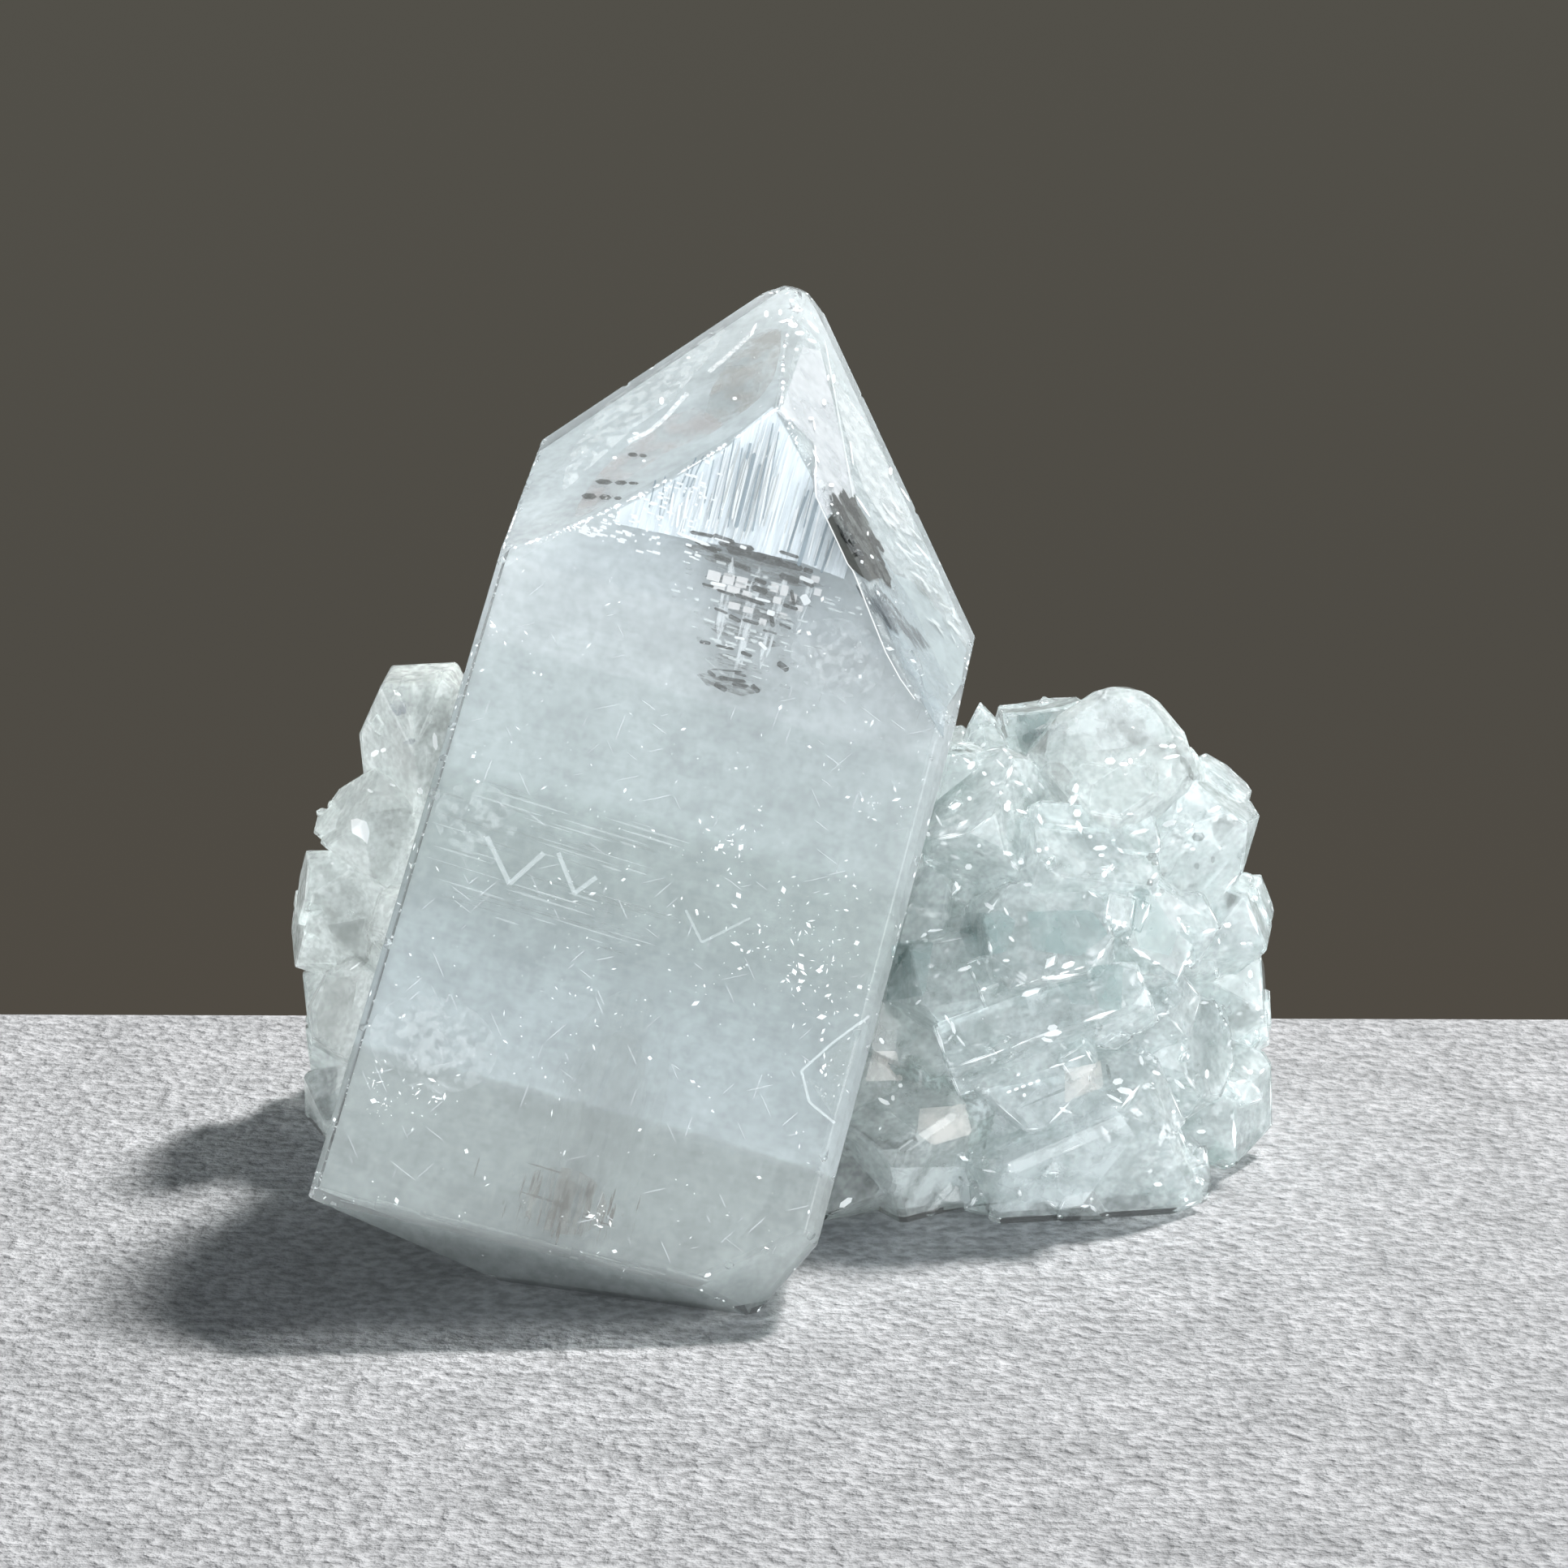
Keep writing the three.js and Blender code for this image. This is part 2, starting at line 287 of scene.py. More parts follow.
table = mesh_object("table", corners, faces[:, ::-1], [table_finish], smooth=True)
print("table faces:", len(faces))

# %% Backdrop
BACKDROP_DISTANCE = 0.45
backdrop_finish, tree, output = new_material("dark_backdrop")
place = add_node(tree, "ShaderNodeTexCoord").outputs["Object"]
height = add_node(tree, "ShaderNodeSeparateXYZ", inputs={"Vector": place}).outputs["Z"]
share = do_math(tree, "MULTIPLY_ADD", height, 2.6, 0.55, clamp=True)
tone = ramp(
    tree,
    share,
    [(0.0, (0.082, 0.068, 0.052, 1)), (0.35, (0.078, 0.072, 0.060, 1)), (1.0, (0.098, 0.096, 0.080, 1))],
)
glow = add_node(tree, "ShaderNodeEmission", inputs={"Color": tone, "Strength": 1.0})
tree.links.new(glow.outputs[0], output.inputs["Surface"])
x, z = np.meshgrid(np.linspace(-0.6, 0.6, 5), np.linspace(-0.25, 0.45, 5))
corners = np.stack([x, np.full_like(x, BACKDROP_DISTANCE), z], -1).reshape(-1, 3)
backdrop = mesh_object("backdrop", corners, grid_faces(5, 5), [backdrop_finish])
print("backdrop stands at", BACKDROP_DISTANCE, "m")


# %% Lights
def area_lamp(name, place, aim, size, watts, colour):
    """A square soft lamp at a place, turned to face a point."""
    lamp = bpy.data.lights.new(name, "AREA")
    lamp.shape = "SQUARE"
    lamp.size = size
    lamp.energy = watts
    lamp.color = colour
    made = bpy.data.objects.new(name, lamp)
    made.location = place
    direction = np.asarray(aim) - np.asarray(place)
    made.rotation_euler = (
        math.acos(-direction[2] / np.linalg.norm(direction)),
        0.0,
        math.atan2(direction[1], direction[0]) - math.pi / 2,
    )
    made.visible_transmission = False
    bpy.context.scene.collection.objects.link(made)
    return made


KEY_WAY = np.array([0.52, 0.50, 1.0]) / np.linalg.norm([0.52, 0.50, 1.0])
area_lamp("key", KEY_WAY * 1.5, (0, 0, 0.015), 0.18, 21.5, (1.0, 0.99, 0.975))
lit_alone = [
    area_lamp("sky_front", (-0.10, -0.85, 0.30), (0, 0, 0.02), 0.6, 3.5, (0.93, 0.97, 1.0)),
    area_lamp("sky_right", (0.62, -0.50, 0.25), (0.01, 0, 0.01), 0.6, 4.2, (0.95, 0.98, 1.0)),
    area_lamp("sky_left", (-0.70, -0.35, 0.30), (-0.01, 0, 0.01), 0.5, 2.4, (0.98, 0.99, 1.0)),
]
world = bpy.data.worlds.new("soft_grey")
world.use_nodes = True
world.node_tree.nodes["Background"].inputs["Color"].default_value = (0.80, 0.88, 0.95, 1)
world.node_tree.nodes["Background"].inputs["Strength"].default_value = 0.09
bpy.context.scene.world = world
bpy.context.scene.view_settings.view_transform = "Standard"
cycles = bpy.context.scene.cycles
cycles.transparent_max_bounces = 14
cycles.max_bounces = 7
cycles.adaptive_threshold = 0.05
cycles.transmission_bounces = 6
cycles.diffuse_bounces = 2
cycles.glossy_bounces = 2

# %% [markdown]
# ## How a crystal's shape is found
# A crystal is the space behind a set of flat faces. It could be modelled by moving corners by hand,
# but then no two edges would meet at the true angles. Here each face is a plane, three planes give
# a corner, and the corners that no other plane cuts off are the crystal's own.


# %% Corners and faces of a convex crystal
def plane(x, y, z, distance):
    """A face as (outward direction, distance from the crystal's origin)."""
    size = math.sqrt(x * x + y * y + z * z)
    return [x / size, y / size, z / size, distance]


def sloped_plane(compass, slope, distance):
    """A face that leans by slope degrees from level and looks towards a compass angle."""
    a, s = math.radians(compass), math.radians(slope)
    return [math.sin(s) * math.cos(a), math.sin(s) * math.sin(a), math.cos(s), distance]


def convex_crystal(planes):
    """Corners: every three planes are solved for the point they share, and a point stays if it is
    behind all the planes. A face's corners are the points on its plane, in order of their angle
    round its outward direction. Each plane first moves by under 2 thousandths of a millimetre, so
    that no four of them share a point."""
    planes = np.asarray(planes, float)
    n = planes[:, :3]
    d = planes[:, 3] + np.random.default_rng(5).uniform(0.0, 0.002, len(planes))
    trios = np.array(list(combinations(range(len(planes)), 3)))
    trios = trios[np.abs(np.linalg.det(n[trios])) > 1e-5]
    points = np.linalg.solve(n[trios], d[trios][..., None])[..., 0]
    kept = (points @ n.T - d < 1e-8).all(1)
    points, trios = points[kept], trios[kept]
    faces, owners = [], []
    for index, normal in enumerate(n):
        on = np.flatnonzero((trios == index).any(1))
        if len(on) < 3:
            continue
        spokes = points[on] - points[on].mean(0)
        first = spokes[0] / np.linalg.norm(spokes[0])
        angle = np.arctan2(spokes @ np.cross(normal, first), spokes @ first)
        faces.append(on[np.argsort(angle)])
        owners.append(index)
    return points, faces, np.array(owners)


NEARLY_FLAT = 1.97  # the length of two outward directions added up, 2 where both faces look one way


def with_bevels(planes, width):
    """The planes, and a narrow plane of the given width across each edge: it looks half way between
    its two faces. Its depth below the edge is half the width times the tangent of half the turn."""
    planes = [list(p) for p in planes]
    points, faces, _ = convex_crystal(planes)
    normals, sides = [], {}
    for index, face in enumerate(faces):
        spokes = points[face] - points[face].mean(0)
        normal = np.cross(spokes, np.roll(spokes, -1, 0)).sum(0)
        normals.append(normal / np.linalg.norm(normal))
        for a, b in zip(face, np.roll(face, -1)):
            sides[(int(a), int(b))] = index
    bevels = []
    for (a, b), index in sides.items():
        other = sides.get((b, a))
        if other is None or a > b:
            continue
        middle = normals[index] + normals[other]
        if np.linalg.norm(middle) > NEARLY_FLAT:
            continue
        middle /= np.linalg.norm(middle)
        turn = math.acos(float(np.clip(normals[index] @ normals[other], -1, 1)))
        bevels.append([*middle, float(middle @ points[a]) - width / 2 * math.tan(turn / 2)])
    return planes + bevels


CUBE_SIDES = [[1, 0, 0], [-1, 0, 0], [0, 1, 0], [0, -1, 0], [0, 0, 1], [0, 0, -1]]
print("a cube has", len(convex_crystal([plane(*side, 1) for side in CUBE_SIDES])[0]), "corners")

# %% [markdown]
# ## The large crystal
# The prism leans back and to the right, and its four point faces stand on its edges, as they do on
# apophyllite. The tip is worn blunt, the foot is a flat cleavage, and one corner of it is chipped.

# %% Frame of the large crystal
FRONT, BACK, LEFT, RIGHT = 8.0, 9.5, 9.6, 12.6
LENGTH = 51.95
POINT_SLOPE = 60.4
TIP_LOSS = 1.0
MIDDLE = np.array([1.21521, 18.19291, 0.0])
IDEAL_POINT = np.array([2.5, 32.0, 41.9]) - MIDDLE


def turn_about(axis, degrees):
    """The turn about the x, y or z axis, as a 3 by 3 array."""
    c, s = math.cos(math.radians(degrees)), math.sin(math.radians(degrees))
    i, j = {"x": (1, 2), "y": (2, 0), "z": (0, 1)}[axis]
    turn = np.eye(3)
    turn[i, i] = turn[j, j] = c
    turn[i, j], turn[j, i] = -s, s
    return turn


LEAN = turn_about("y", 17.4) @ turn_about("x", -32.25) @ turn_about("z", -4.5)


def standing(points):
    """Points of the large crystal's own frame, in mm, taken to the part's frame, in mm."""
    return np.asarray(points) @ LEAN.T + IDEAL_POINT


print("the axis leans", round(math.degrees(math.acos(LEAN[2, 2])), 1), "degrees from upright")

# %% Faces of the large crystal
def large_crystal_planes():
    """All the planes of the large crystal in its own frame, z up its axis, in mm."""
    half = math.sqrt(2.0)
    broken = np.array([-0.495, -0.209, -0.844])
    broken_at = np.array([-11.9, 4.3, 0.36]) - MIDDLE
    broken_own = LEAN.T @ (broken / np.linalg.norm(broken))
    broken_far = float(broken_own @ (LEAN.T @ (broken_at - IDEAL_POINT)))
    return [
        plane(0, -1, 0, FRONT),
        plane(0, 1, 0, BACK),
        plane(-1, 0, 0, LEFT),
        plane(1, 0, 0, RIGHT),
        sloped_plane(230, POINT_SLOPE - 0.7, 0),
        sloped_plane(314.5, POINT_SLOPE - 1.9, 0),
        sloped_plane(137.6, POINT_SLOPE + 5.2, 0.05),
        sloped_plane(43, POINT_SLOPE + 4.2, -0.05),
        plane(0, 0, 1, -TIP_LOSS),
        sloped_plane(180, 30, -TIP_LOSS * 0.98),
        sloped_plane(0, 32, -TIP_LOSS * 1.02),
        sloped_plane(270, 30, -TIP_LOSS * 0.98),
        sloped_plane(90, 34, -TIP_LOSS * 0.98),
        plane(-1, -1, 0, (LEFT + FRONT) / half - 0.14),
        plane(1, -1, 0, (RIGHT + FRONT) / half - 0.5),
        plane(-1, 1, 0, (LEFT + BACK) / half - 0.6),
        plane(1, 1, 0, (RIGHT + BACK) / half - 0.4),
        plane(0.047, 0, -1, LENGTH),
        plane(0.568, -0.439, -0.692, 43.66),
        plane(0.921, 0.193, -0.339, 26.6),
        [*broken_own, broken_far],
    ]


large_planes = large_crystal_planes()
LARGE_BEVEL = 0.10
LEFT_SIDE_AT, LEFT_POINT_AT, LEFT_BEVEL_AT = 2, 4, 13
FIRST_POINT_AT, LAST_POINT_AT = 4, 12
FRONT_FACE, LEFT_POINT, RIGHT_POINT = large_planes[0], large_planes[LEFT_POINT_AT], large_planes[5]
large_points, large_faces, large_owners = convex_crystal(with_bevels(large_planes, LARGE_BEVEL))
print("large crystal:", len(large_points), "corners,", len(large_faces), "faces")

# %% [markdown]
# ## The lobes of small crystals
# Each lobe is a mound covered with square crystals that grew into each other. They could be
# scattered by hand. Here the golden angle spreads them evenly, the same way as in the part, so the
# seen crystals stand where the solid ones do. The crystals that stand out are placed one by one.

# %% Sizes and places of the lobes
LOBES = {
    "right": {"centre": [12.4, 25.2, 4.0], "half": [10.6, 11.6, 15.4], "count": 48, "widths": [3.0, 6.0]},
    "left": {"centre": [-13.4, 29.0, 4.0], "half": [7.0, 7.8, 13.2], "count": 40, "widths": [2.6, 4.6]},
    "middle": {"centre": [-1.0, 28.4, 3.0], "half": [12.0, 8.4, 10.5], "count": 28, "widths": [3.4, 6.2]},
}
# place, size, way of the axis, spin, how much of the corners the point faces cut
LARGE_BLOCKS = [
    ([17.2, 20.0, 20.1], [6.6, 6.4, 3.8], [0.05, -0.74, 0.6], 38, 1.3),
    ([11.2, 24.0, 19.0], [2.8, 2.8, 6.4], [-0.1, 0.0, 1.0], 30, 2.2),
    ([14.4, 26.0, 18.6], [4.0, 3.4, 5.8], [-0.15, 0.1, 1.0], 8, 0.7),
    ([11.6, 18.6, 17.2], [5.6, 4.4, 5.8], [-0.5, -0.35, 0.75], 62, 0.7),
    ([20.6, 21.4, 16.6], [5.2, 5.0, 5.4], [0.6, -0.1, 0.75], 25, 1.2),
    ([13.6, 15.4, 12.8], [6.0, 5.0, 4.6], [0.1, -0.8, 0.5], 14, 1.0),
    ([22.2, 22.0, 11.6], [4.2, 4.4, 4.8], [0.9, -0.2, 0.35], 40, 1.4),
    ([22.6, 23.4, 7.6], [4.4, 4.2, 4.6], [0.98, -0.1, 0.1], 10, 1.2),
    ([22.4, 25.4, 3.4], [4.6, 4.4, 4.6], [0.95, 0.0, -0.1], 33, 1.0),
    ([15.4, 17.0, 15.8], [6.4, 4.0, 4.4], [0.35, -0.6, 0.7], 15, 0.6),
    ([18.6, 16.8, 12.8], [5.2, 5.2, 3.4], [0.5, -0.8, 0.3], 40, 1.7),
    ([13.8, 13.6, 9.2], [2.8, 2.6, 10.0], [0.94, 0.05, 0.33], 45, 0.5),
    ([13.6, 14.4, 12.0], [2.2, 2.0, 6.6], [0.93, 0.1, 0.36], 40, 0.4),
    ([15.4, 15.6, 2.2], [9.6, 6.8, 6.6], [-0.36, -0.3, 0.86], 6, 1.2),
    ([7.4, 15.2, 2.4], [5.4, 5.6, 6.4], [-0.2, -0.4, 0.9], 35, 0.8),
    ([-15.9, 29.2, 18.2], [4.8, 4.6, 8.4], [-0.08, -0.05, 1.0], 40, 1.5),
    ([-17.8, 28.4, 14.4], [4.6, 4.6, 5.2], [-0.7, -0.3, 0.6], 22, 1.2),
    ([-19.6, 28.6, 9.9], [5.4, 5.0, 5.4], [-0.95, -0.2, 0.2], 38, 1.4),
    ([-19.5, 28.6, 5.0], [5.0, 4.6, 5.0], [-0.97, -0.1, -0.1], 15, 1.2),
    ([-18.6, 29.6, 1.4], [4.4, 4.4, 4.4], [-0.9, 0.1, -0.2], 30, 1.1),
    ([-7.0, 34.4, 8.6], [5.8, 5.8, 10.5], [-0.25, 0.8, 0.5], 20, 3.2),
    ([4.6, 35.0, 5.6], [5.0, 5.2, 8.6], [0.25, 0.9, 0.3], 42, 2.8),
    ([13.6, 33.0, 11.4], [5.6, 5.2, 9.2], [0.5, 0.65, 0.6], 10, 2.6),
    ([-0.6, 33.2, 14.4], [4.6, 4.6, 7.6], [0.1, 0.7, 0.75], 28, 2.4),
]
TOP_PLATE_AT, FOOT_BLOCK_AT, FOOT_SIDE_AT = 0, 13, 14
print(sum(lobe["count"] for lobe in LOBES.values()) + len(LARGE_BLOCKS), "small crystals")


# %% A small crystal
def seeded(seed):
    """Numbers from 0 to 1 that are the same on every run: a 32-bit counter whose bits are mixed."""
    state, full = seed, 0xFFFFFFFF

    def draw():
        nonlocal state
        state = (state + 0x6D2B79F5) & full
        t = ((state ^ (state >> 15)) * (1 | state)) & full
        t = ((t + ((t ^ (t >> 7)) * (61 | t))) & full) ^ t
        return (t ^ (t >> 14)) / 4294967296

    return draw


def small_crystal(size, cut, bevel):
    """A square block whose upper corners are cut by four sloping faces, with narrow bevels."""
    width, depth, height = size
    s = math.radians(POINT_SLOPE)
    corner = (width + depth) / 2 / math.sqrt(2.0) * math.sin(s) + height / 2 * math.cos(s)
    planes = [plane(*side, np.repeat(size, 2)[i] / 2) for i, side in enumerate(CUBE_SIDES)]
    planes += [sloped_plane(compass, POINT_SLOPE, corner - cut) for compass in (45, 135, 225, 315)]
    points, faces, owners = convex_crystal(with_bevels(planes, bevel) if bevel else planes)
    return points, faces, owners >= len(planes)


def turn_to(axis, spin):
    """The shortest turn that takes +z to the axis, after a spin about +z in degrees."""
    axis = np.asarray(axis, float) / np.linalg.norm(axis)
    v, c = np.cross([0, 0, 1], axis), axis[2]
    cross = np.array([[0, -v[2], v[1]], [v[2], 0, -v[0]], [-v[1], v[0], 0]])
    return (np.eye(3) + cross + cross @ cross / (1 + c)) @ turn_about("z", spin)


def lobe_crystals(lobe, random):
    """Place, size, axis, spin and cut of each crystal on a lobe. Height falls evenly from the top,
    the compass angle grows by the golden angle, and the axis looks outwards, leaning at random."""
    half, centre, (low, high) = np.array(lobe["half"]), np.array(lobe["centre"]), lobe["widths"]
    golden = math.pi * (3 - math.sqrt(5))
    rows = []
    for i in range(lobe["count"]):
        z = 1 - (1.3 * (i + 0.5)) / lobe["count"]
        reach = math.sqrt(max(0.0, 1 - z * z))
        angle = i * golden + random() * 0.5
        way = np.array([math.cos(angle) * reach, math.sin(angle) * reach, z])
        axis = way / half
        axis = axis / np.linalg.norm(axis)
        axis = axis + [(random() - 0.5) * 0.9 for _ in range(3)]
        width = low + (high - low) * random()
        size = [width, width * (0.75 + 0.4 * random()), width * (1.0 + 0.5 * random())]
        cut = width * (0.14 + 0.3 * random())
        rows.append((way * half * 0.87 + centre, size, axis, random() * 90, cut))
    return rows


print("small crystals are cut from", len(CUBE_SIDES), "sides and their corners")

# %% [markdown]
# ## Growing the crystals into one
# The crystals overlap, and the real ones have no walls between them. They could be left as loose
# meshes, but then clear stone would show every hidden face. A Boolean union keeps the outer skin
# alone, and a cut at z = 0 makes the level underside that the cluster stands on.

# %% Materials by region
PRISM, CLEAR, SUGAR, BROKEN, WORN, POINT, FROST = range(7)
STONE_NAMES = (
    "clear_prism",
    "clear_druse",
    "sugar_druse",
    "broken_foot",
    "worn_edges",
    "etched_point",
    "frosted_plate",
)
stone_finishes = [bpy.data.materials.new(name) for name in STONE_NAMES]
print("regions:", STONE_NAMES)


def operand(name, points, faces, region, worn=False):
    """A closed mesh in metres whose faces carry one region's material, or the worn edges'."""
    made = mesh_object(name, np.asarray(points) * MM, faces, stone_finishes)
    made.data.polygons.foreach_set("material_index", np.where(worn, WORN, np.full(len(faces), region)))
    return made


def placed(name, at, size, axis, spin, cut, region, bevel):
    """One small crystal as an operand, its middle at a place of the part's building frame."""
    points, faces, worn = small_crystal(size, cut, bevel)
    standing_points = points @ turn_to(axis, spin).T + np.asarray(at) - MIDDLE
    return operand(name, standing_points, faces, region)


def lobe_body(name, lobe, region):
    """The mass under a lobe's crystals: a ball of 80 triangles stretched to the lobe's half sizes."""
    points, faces = ball_mesh(2)
    return operand(name, points * lobe["half"] + lobe["centre"] - MIDDLE, faces, region)


# %% Every operand
random = seeded(7)
LOBE_REGION = {"right": CLEAR, "left": SUGAR, "middle": CLEAR}
worn = large_owners >= len(large_planes)
grown = [operand("large", standing(large_points), large_faces, PRISM, worn)]
on_point = (large_owners >= FIRST_POINT_AT) & (large_owners <= LAST_POINT_AT)
grown[0].data.polygons.foreach_set("material_index", np.where(worn, WORN, np.where(on_point, POINT, PRISM)))
for name, lobe in LOBES.items():
    region = LOBE_REGION[name]
    grown.append(lobe_body(f"{name}_body", lobe, region))
    for i, (at, size, axis, spin, cut) in enumerate(lobe_crystals(lobe, random)):
        grown.append(placed(f"{name}_{i}", at, size, axis, spin, cut, region, 0.12))
steps = np.random.default_rng(17)
for i, (at, size, axis, spin, cut) in enumerate(LARGE_BLOCKS):
    region = SUGAR if at[0] < -10 or i == FOOT_SIDE_AT else FROST if i == TOP_PLATE_AT else CLEAR
    bevel = {TOP_PLATE_AT: 0.9, FOOT_BLOCK_AT: 0.6, FOOT_SIDE_AT: 0.4}.get(i, 0.14)
    grown.append(placed(f"block_{i}", at, size, axis, spin, cut, region, bevel))
    turn = turn_to(axis, spin)
    for k in range(3):
        part = steps.uniform(0.35, 0.7, 3)
        shift = (1 - part) * steps.choice([-1, 1], 3) * np.array(size) / 2 + steps.uniform(0.05, 0.3, 3)
        small = list(np.array(size) * part)
        grown.append(
            placed(f"step_{i}_{k}", np.array(at) + turn @ shift, small, axis, spin, cut * 0.5, region, 0.08)
        )


CUBE_CORNERS = [[x, y, z] for x in (-1, 1) for y in (-1, 1) for z in (-1, 1)]
BOX_FACES = [(0, 2, 3, 1), (4, 5, 7, 6), (0, 1, 5, 4), (1, 3, 7, 5), (3, 2, 6, 7), (2, 0, 4, 6)]


def box_corners(xs, ys, zs):
    """The eight corners of a box between two values of x, y and z, in the order of BOX_FACES."""
    return np.array([[x, y, z] for z in zs for y in ys for x in xs])


def chip(name, at, radius, random, region, blocky=False):
    """A small broken-out bit: the space behind planes that look roughly to the corners of a cube, and
    to its sides too if it is blocky, each 0.5 to 1 radius from the middle, turned at random."""
    ways = np.array(CUBE_CORNERS + CUBE_SIDES if blocky else CUBE_CORNERS, float)
    ways /= np.linalg.norm(ways, axis=1, keepdims=True)
    ways = (ways + random.normal(size=ways.shape) * 0.22) @ turn_to(random.normal(size=3) + [0, 0, 0.01], 0)
    planes = [plane(*way, radius * random.uniform(0.5, 1.0)) for way in ways]
    points, faces, _ = convex_crystal(planes)
    return operand(name, points + at, faces, region)


cutters = [operand("under", box_corners((-90, 90), (-90, 90), (-40, 0)), BOX_FACES, BROKEN)]
for i in range(11):
    angle = (i / 11) * 2 * math.pi + 0.4 * random()
    at = [1.2 + 19.5 * math.cos(angle), 25.5 + 10.0 * math.sin(angle), -2.2]
    axis = [0.5 * (random() - 0.5), 0.5 * (random() - 0.5), 1]
    width = 4.5 + 3 * random()
    cutters.append(placed(f"hollow_{i}", at, [width, width * 0.8, 6], axis, random() * 90, 1.4, BROKEN, 0))

# the dish in the left point face, the chips along the edges and the steps of the cleaved foot
DISH_HALF, DISH_MIDDLE, DISH_DEPTH = np.array([24.0, 13.0, 10.0]), np.array([-3.4, -8.0, -14.23]), 0.78
dish, dish_faces = ball_mesh(5)
out = np.array(LEFT_POINT[:3])
arm = np.cross(out, FRONT_FACE[:3])
arm /= np.linalg.norm(arm)
dish = (dish * DISH_HALF) @ np.array([arm, np.cross(out, arm), out]) + DISH_MIDDLE + out * (
    10.0 - DISH_DEPTH
)
cutters.append(operand("dish", standing(dish), dish_faces, POINT))
chips = np.random.default_rng(23)
edge_points, edge_faces, _ = convex_crystal(large_planes)
pairs = {tuple(sorted((int(a), int(b)))) for f in edge_faces for a, b in zip(f, np.roll(f, -1))}
for a, b in sorted(pairs):
    ends = edge_points[[a, b]]
    high = ends[:, 2].mean() > -24 and ends[:, 1].min() < -2
    for k in range(int(np.linalg.norm(ends[1] - ends[0]) * (1.3 if high else 0.2)) + 1):
        at = ends[0] + chips.uniform(0, 1) * (ends[1] - ends[0])
        radius = chips.uniform(0.08, 0.34 if high else 0.26)
        cutters.append(
            chip(f"chip_{a}_{b}_{k}", standing(at + chips.normal(0, 0.05, 3)), radius, chips, WORN)
        )
for k in range(16):
    x, long = chips.uniform(-9, 9), chips.uniform(1.5, 6.0)
    high, deep = chips.uniform(0.10, 0.55), chips.uniform(0.10, 0.45)
    box = box_corners((-1, 1), (-1, 1), (-1, 1)) * [long / 2, deep, high]
    box = box @ turn_about("y", chips.uniform(-2, 2)).T + [x, -FRONT, -LENGTH + 0.047 * x]
    cutters.append(operand(f"foot_step_{k}", standing(box), BOX_FACES, PRISM))
print(len(grown), "solids to join,", len(cutters), "to cut away")


# %% Join and cut
def gathered(name, objects):
    """The objects moved into a collection of their own, for a Boolean."""
    shelf = bpy.data.collections.new(name)
    bpy.context.scene.collection.children.link(shelf)
    for made in objects:
        bpy.context.scene.collection.objects.unlink(made)
        shelf.objects.link(made)
    return shelf


def boolean(base, operation, objects):
    """The base's new mesh after one Boolean with all the objects, which are then removed."""
    step = base.modifiers.new("step", "BOOLEAN")
    step.operation = operation
    step.solver = "MANIFOLD"
    step.operand_type = "COLLECTION"
    shelf = gathered("operands", objects)
    step.collection = shelf
    bpy.context.view_layer.update()
    graph = bpy.context.evaluated_depsgraph_get()
    mesh = bpy.data.meshes.new_from_object(base.evaluated_get(graph))
    base.modifiers.clear()
    base.data = mesh
    for made in objects:
        bpy.data.objects.remove(made)
    bpy.data.collections.remove(shelf)
    return mesh


def keep_outer_skin(mesh):
    """Removes the skins of shut voids. Each corner takes the lowest number among the corners it is
    joined to, again and again, until each separate skin has one number. The largest skin stays."""
    ends = np.empty(len(mesh.edges) * 2, np.int64)
    mesh.edges.foreach_get("vertices", ends)
    a, b = ends.reshape(-1, 2).T
    label = np.arange(len(mesh.vertices))
    while True:
        low = np.minimum(label[a], label[b])
        lower = label.copy()
        np.minimum.at(lower, a, low)
        np.minimum.at(lower, b, low)
        lower = lower[lower]
        if (lower == label).all():
            break
        label = lower
    outer = np.bincount(label).argmax()
    skin = bmesh.new()
    skin.from_mesh(mesh)
    skin.verts.ensure_lookup_table()
    extra = [skin.verts[int(i)] for i in np.flatnonzero(label != outer)]
    bmesh.ops.delete(skin, geom=extra, context="VERTS")
    skin.to_mesh(mesh)
    skin.free()
    return len(extra)


body = grown[0]
body.name = "crystal_cluster"
boolean(body, "UNION", grown[1:])
print("joined:", len(body.data.polygons), "faces")


# %% [markdown]
# ## Druse
# The lobes carry a finer crop of crystals that settled on the larger ones. They could be modelled
# by hand, but there are hundreds. Here points are drawn from the joined surface, each triangle in
# proportion to its area, and a small crystal grows on each along the face's own direction.


# %% Druse
def surface_points(mesh, region, count, dice, kind=None):
    """Random points of one region's surface, with the outward direction there. A triangle is drawn
    in proportion to its area, and a point in it by two folded random shares of its sides."""
    mesh.calc_loop_triangles()
    total = len(mesh.loop_triangles)
    corner = np.empty(total * 3, np.int64)
    owner = np.empty(total, np.int64)
    mesh.loop_triangles.foreach_get("vertices", corner)
    mesh.loop_triangles.foreach_get("polygon_index", owner)
    if kind is None:
        kind = np.empty(len(mesh.polygons), np.int64)
        mesh.polygons.foreach_get("material_index", kind)
    a, b, c = corner_places(mesh)[corner.reshape(-1, 3)].transpose(1, 0, 2) / MM
    cross = np.cross(b - a, c - a)
    area = np.linalg.norm(cross, axis=1) / 2
    chance = np.where((kind[owner] == region) & (a[:, 2] > 1.2), area, 0.0)
    chosen = dice.choice(total, count, p=chance / chance.sum())
    u, v = dice.uniform(size=(2, count))
    fold = u + v > 1
    u[fold], v[fold] = 1 - u[fold], 1 - v[fold]
    points = a[chosen] + u[:, None] * (b - a)[chosen] + v[:, None] * (c - a)[chosen]
    return points, cross[chosen] / (2 * area[chosen])[:, None]


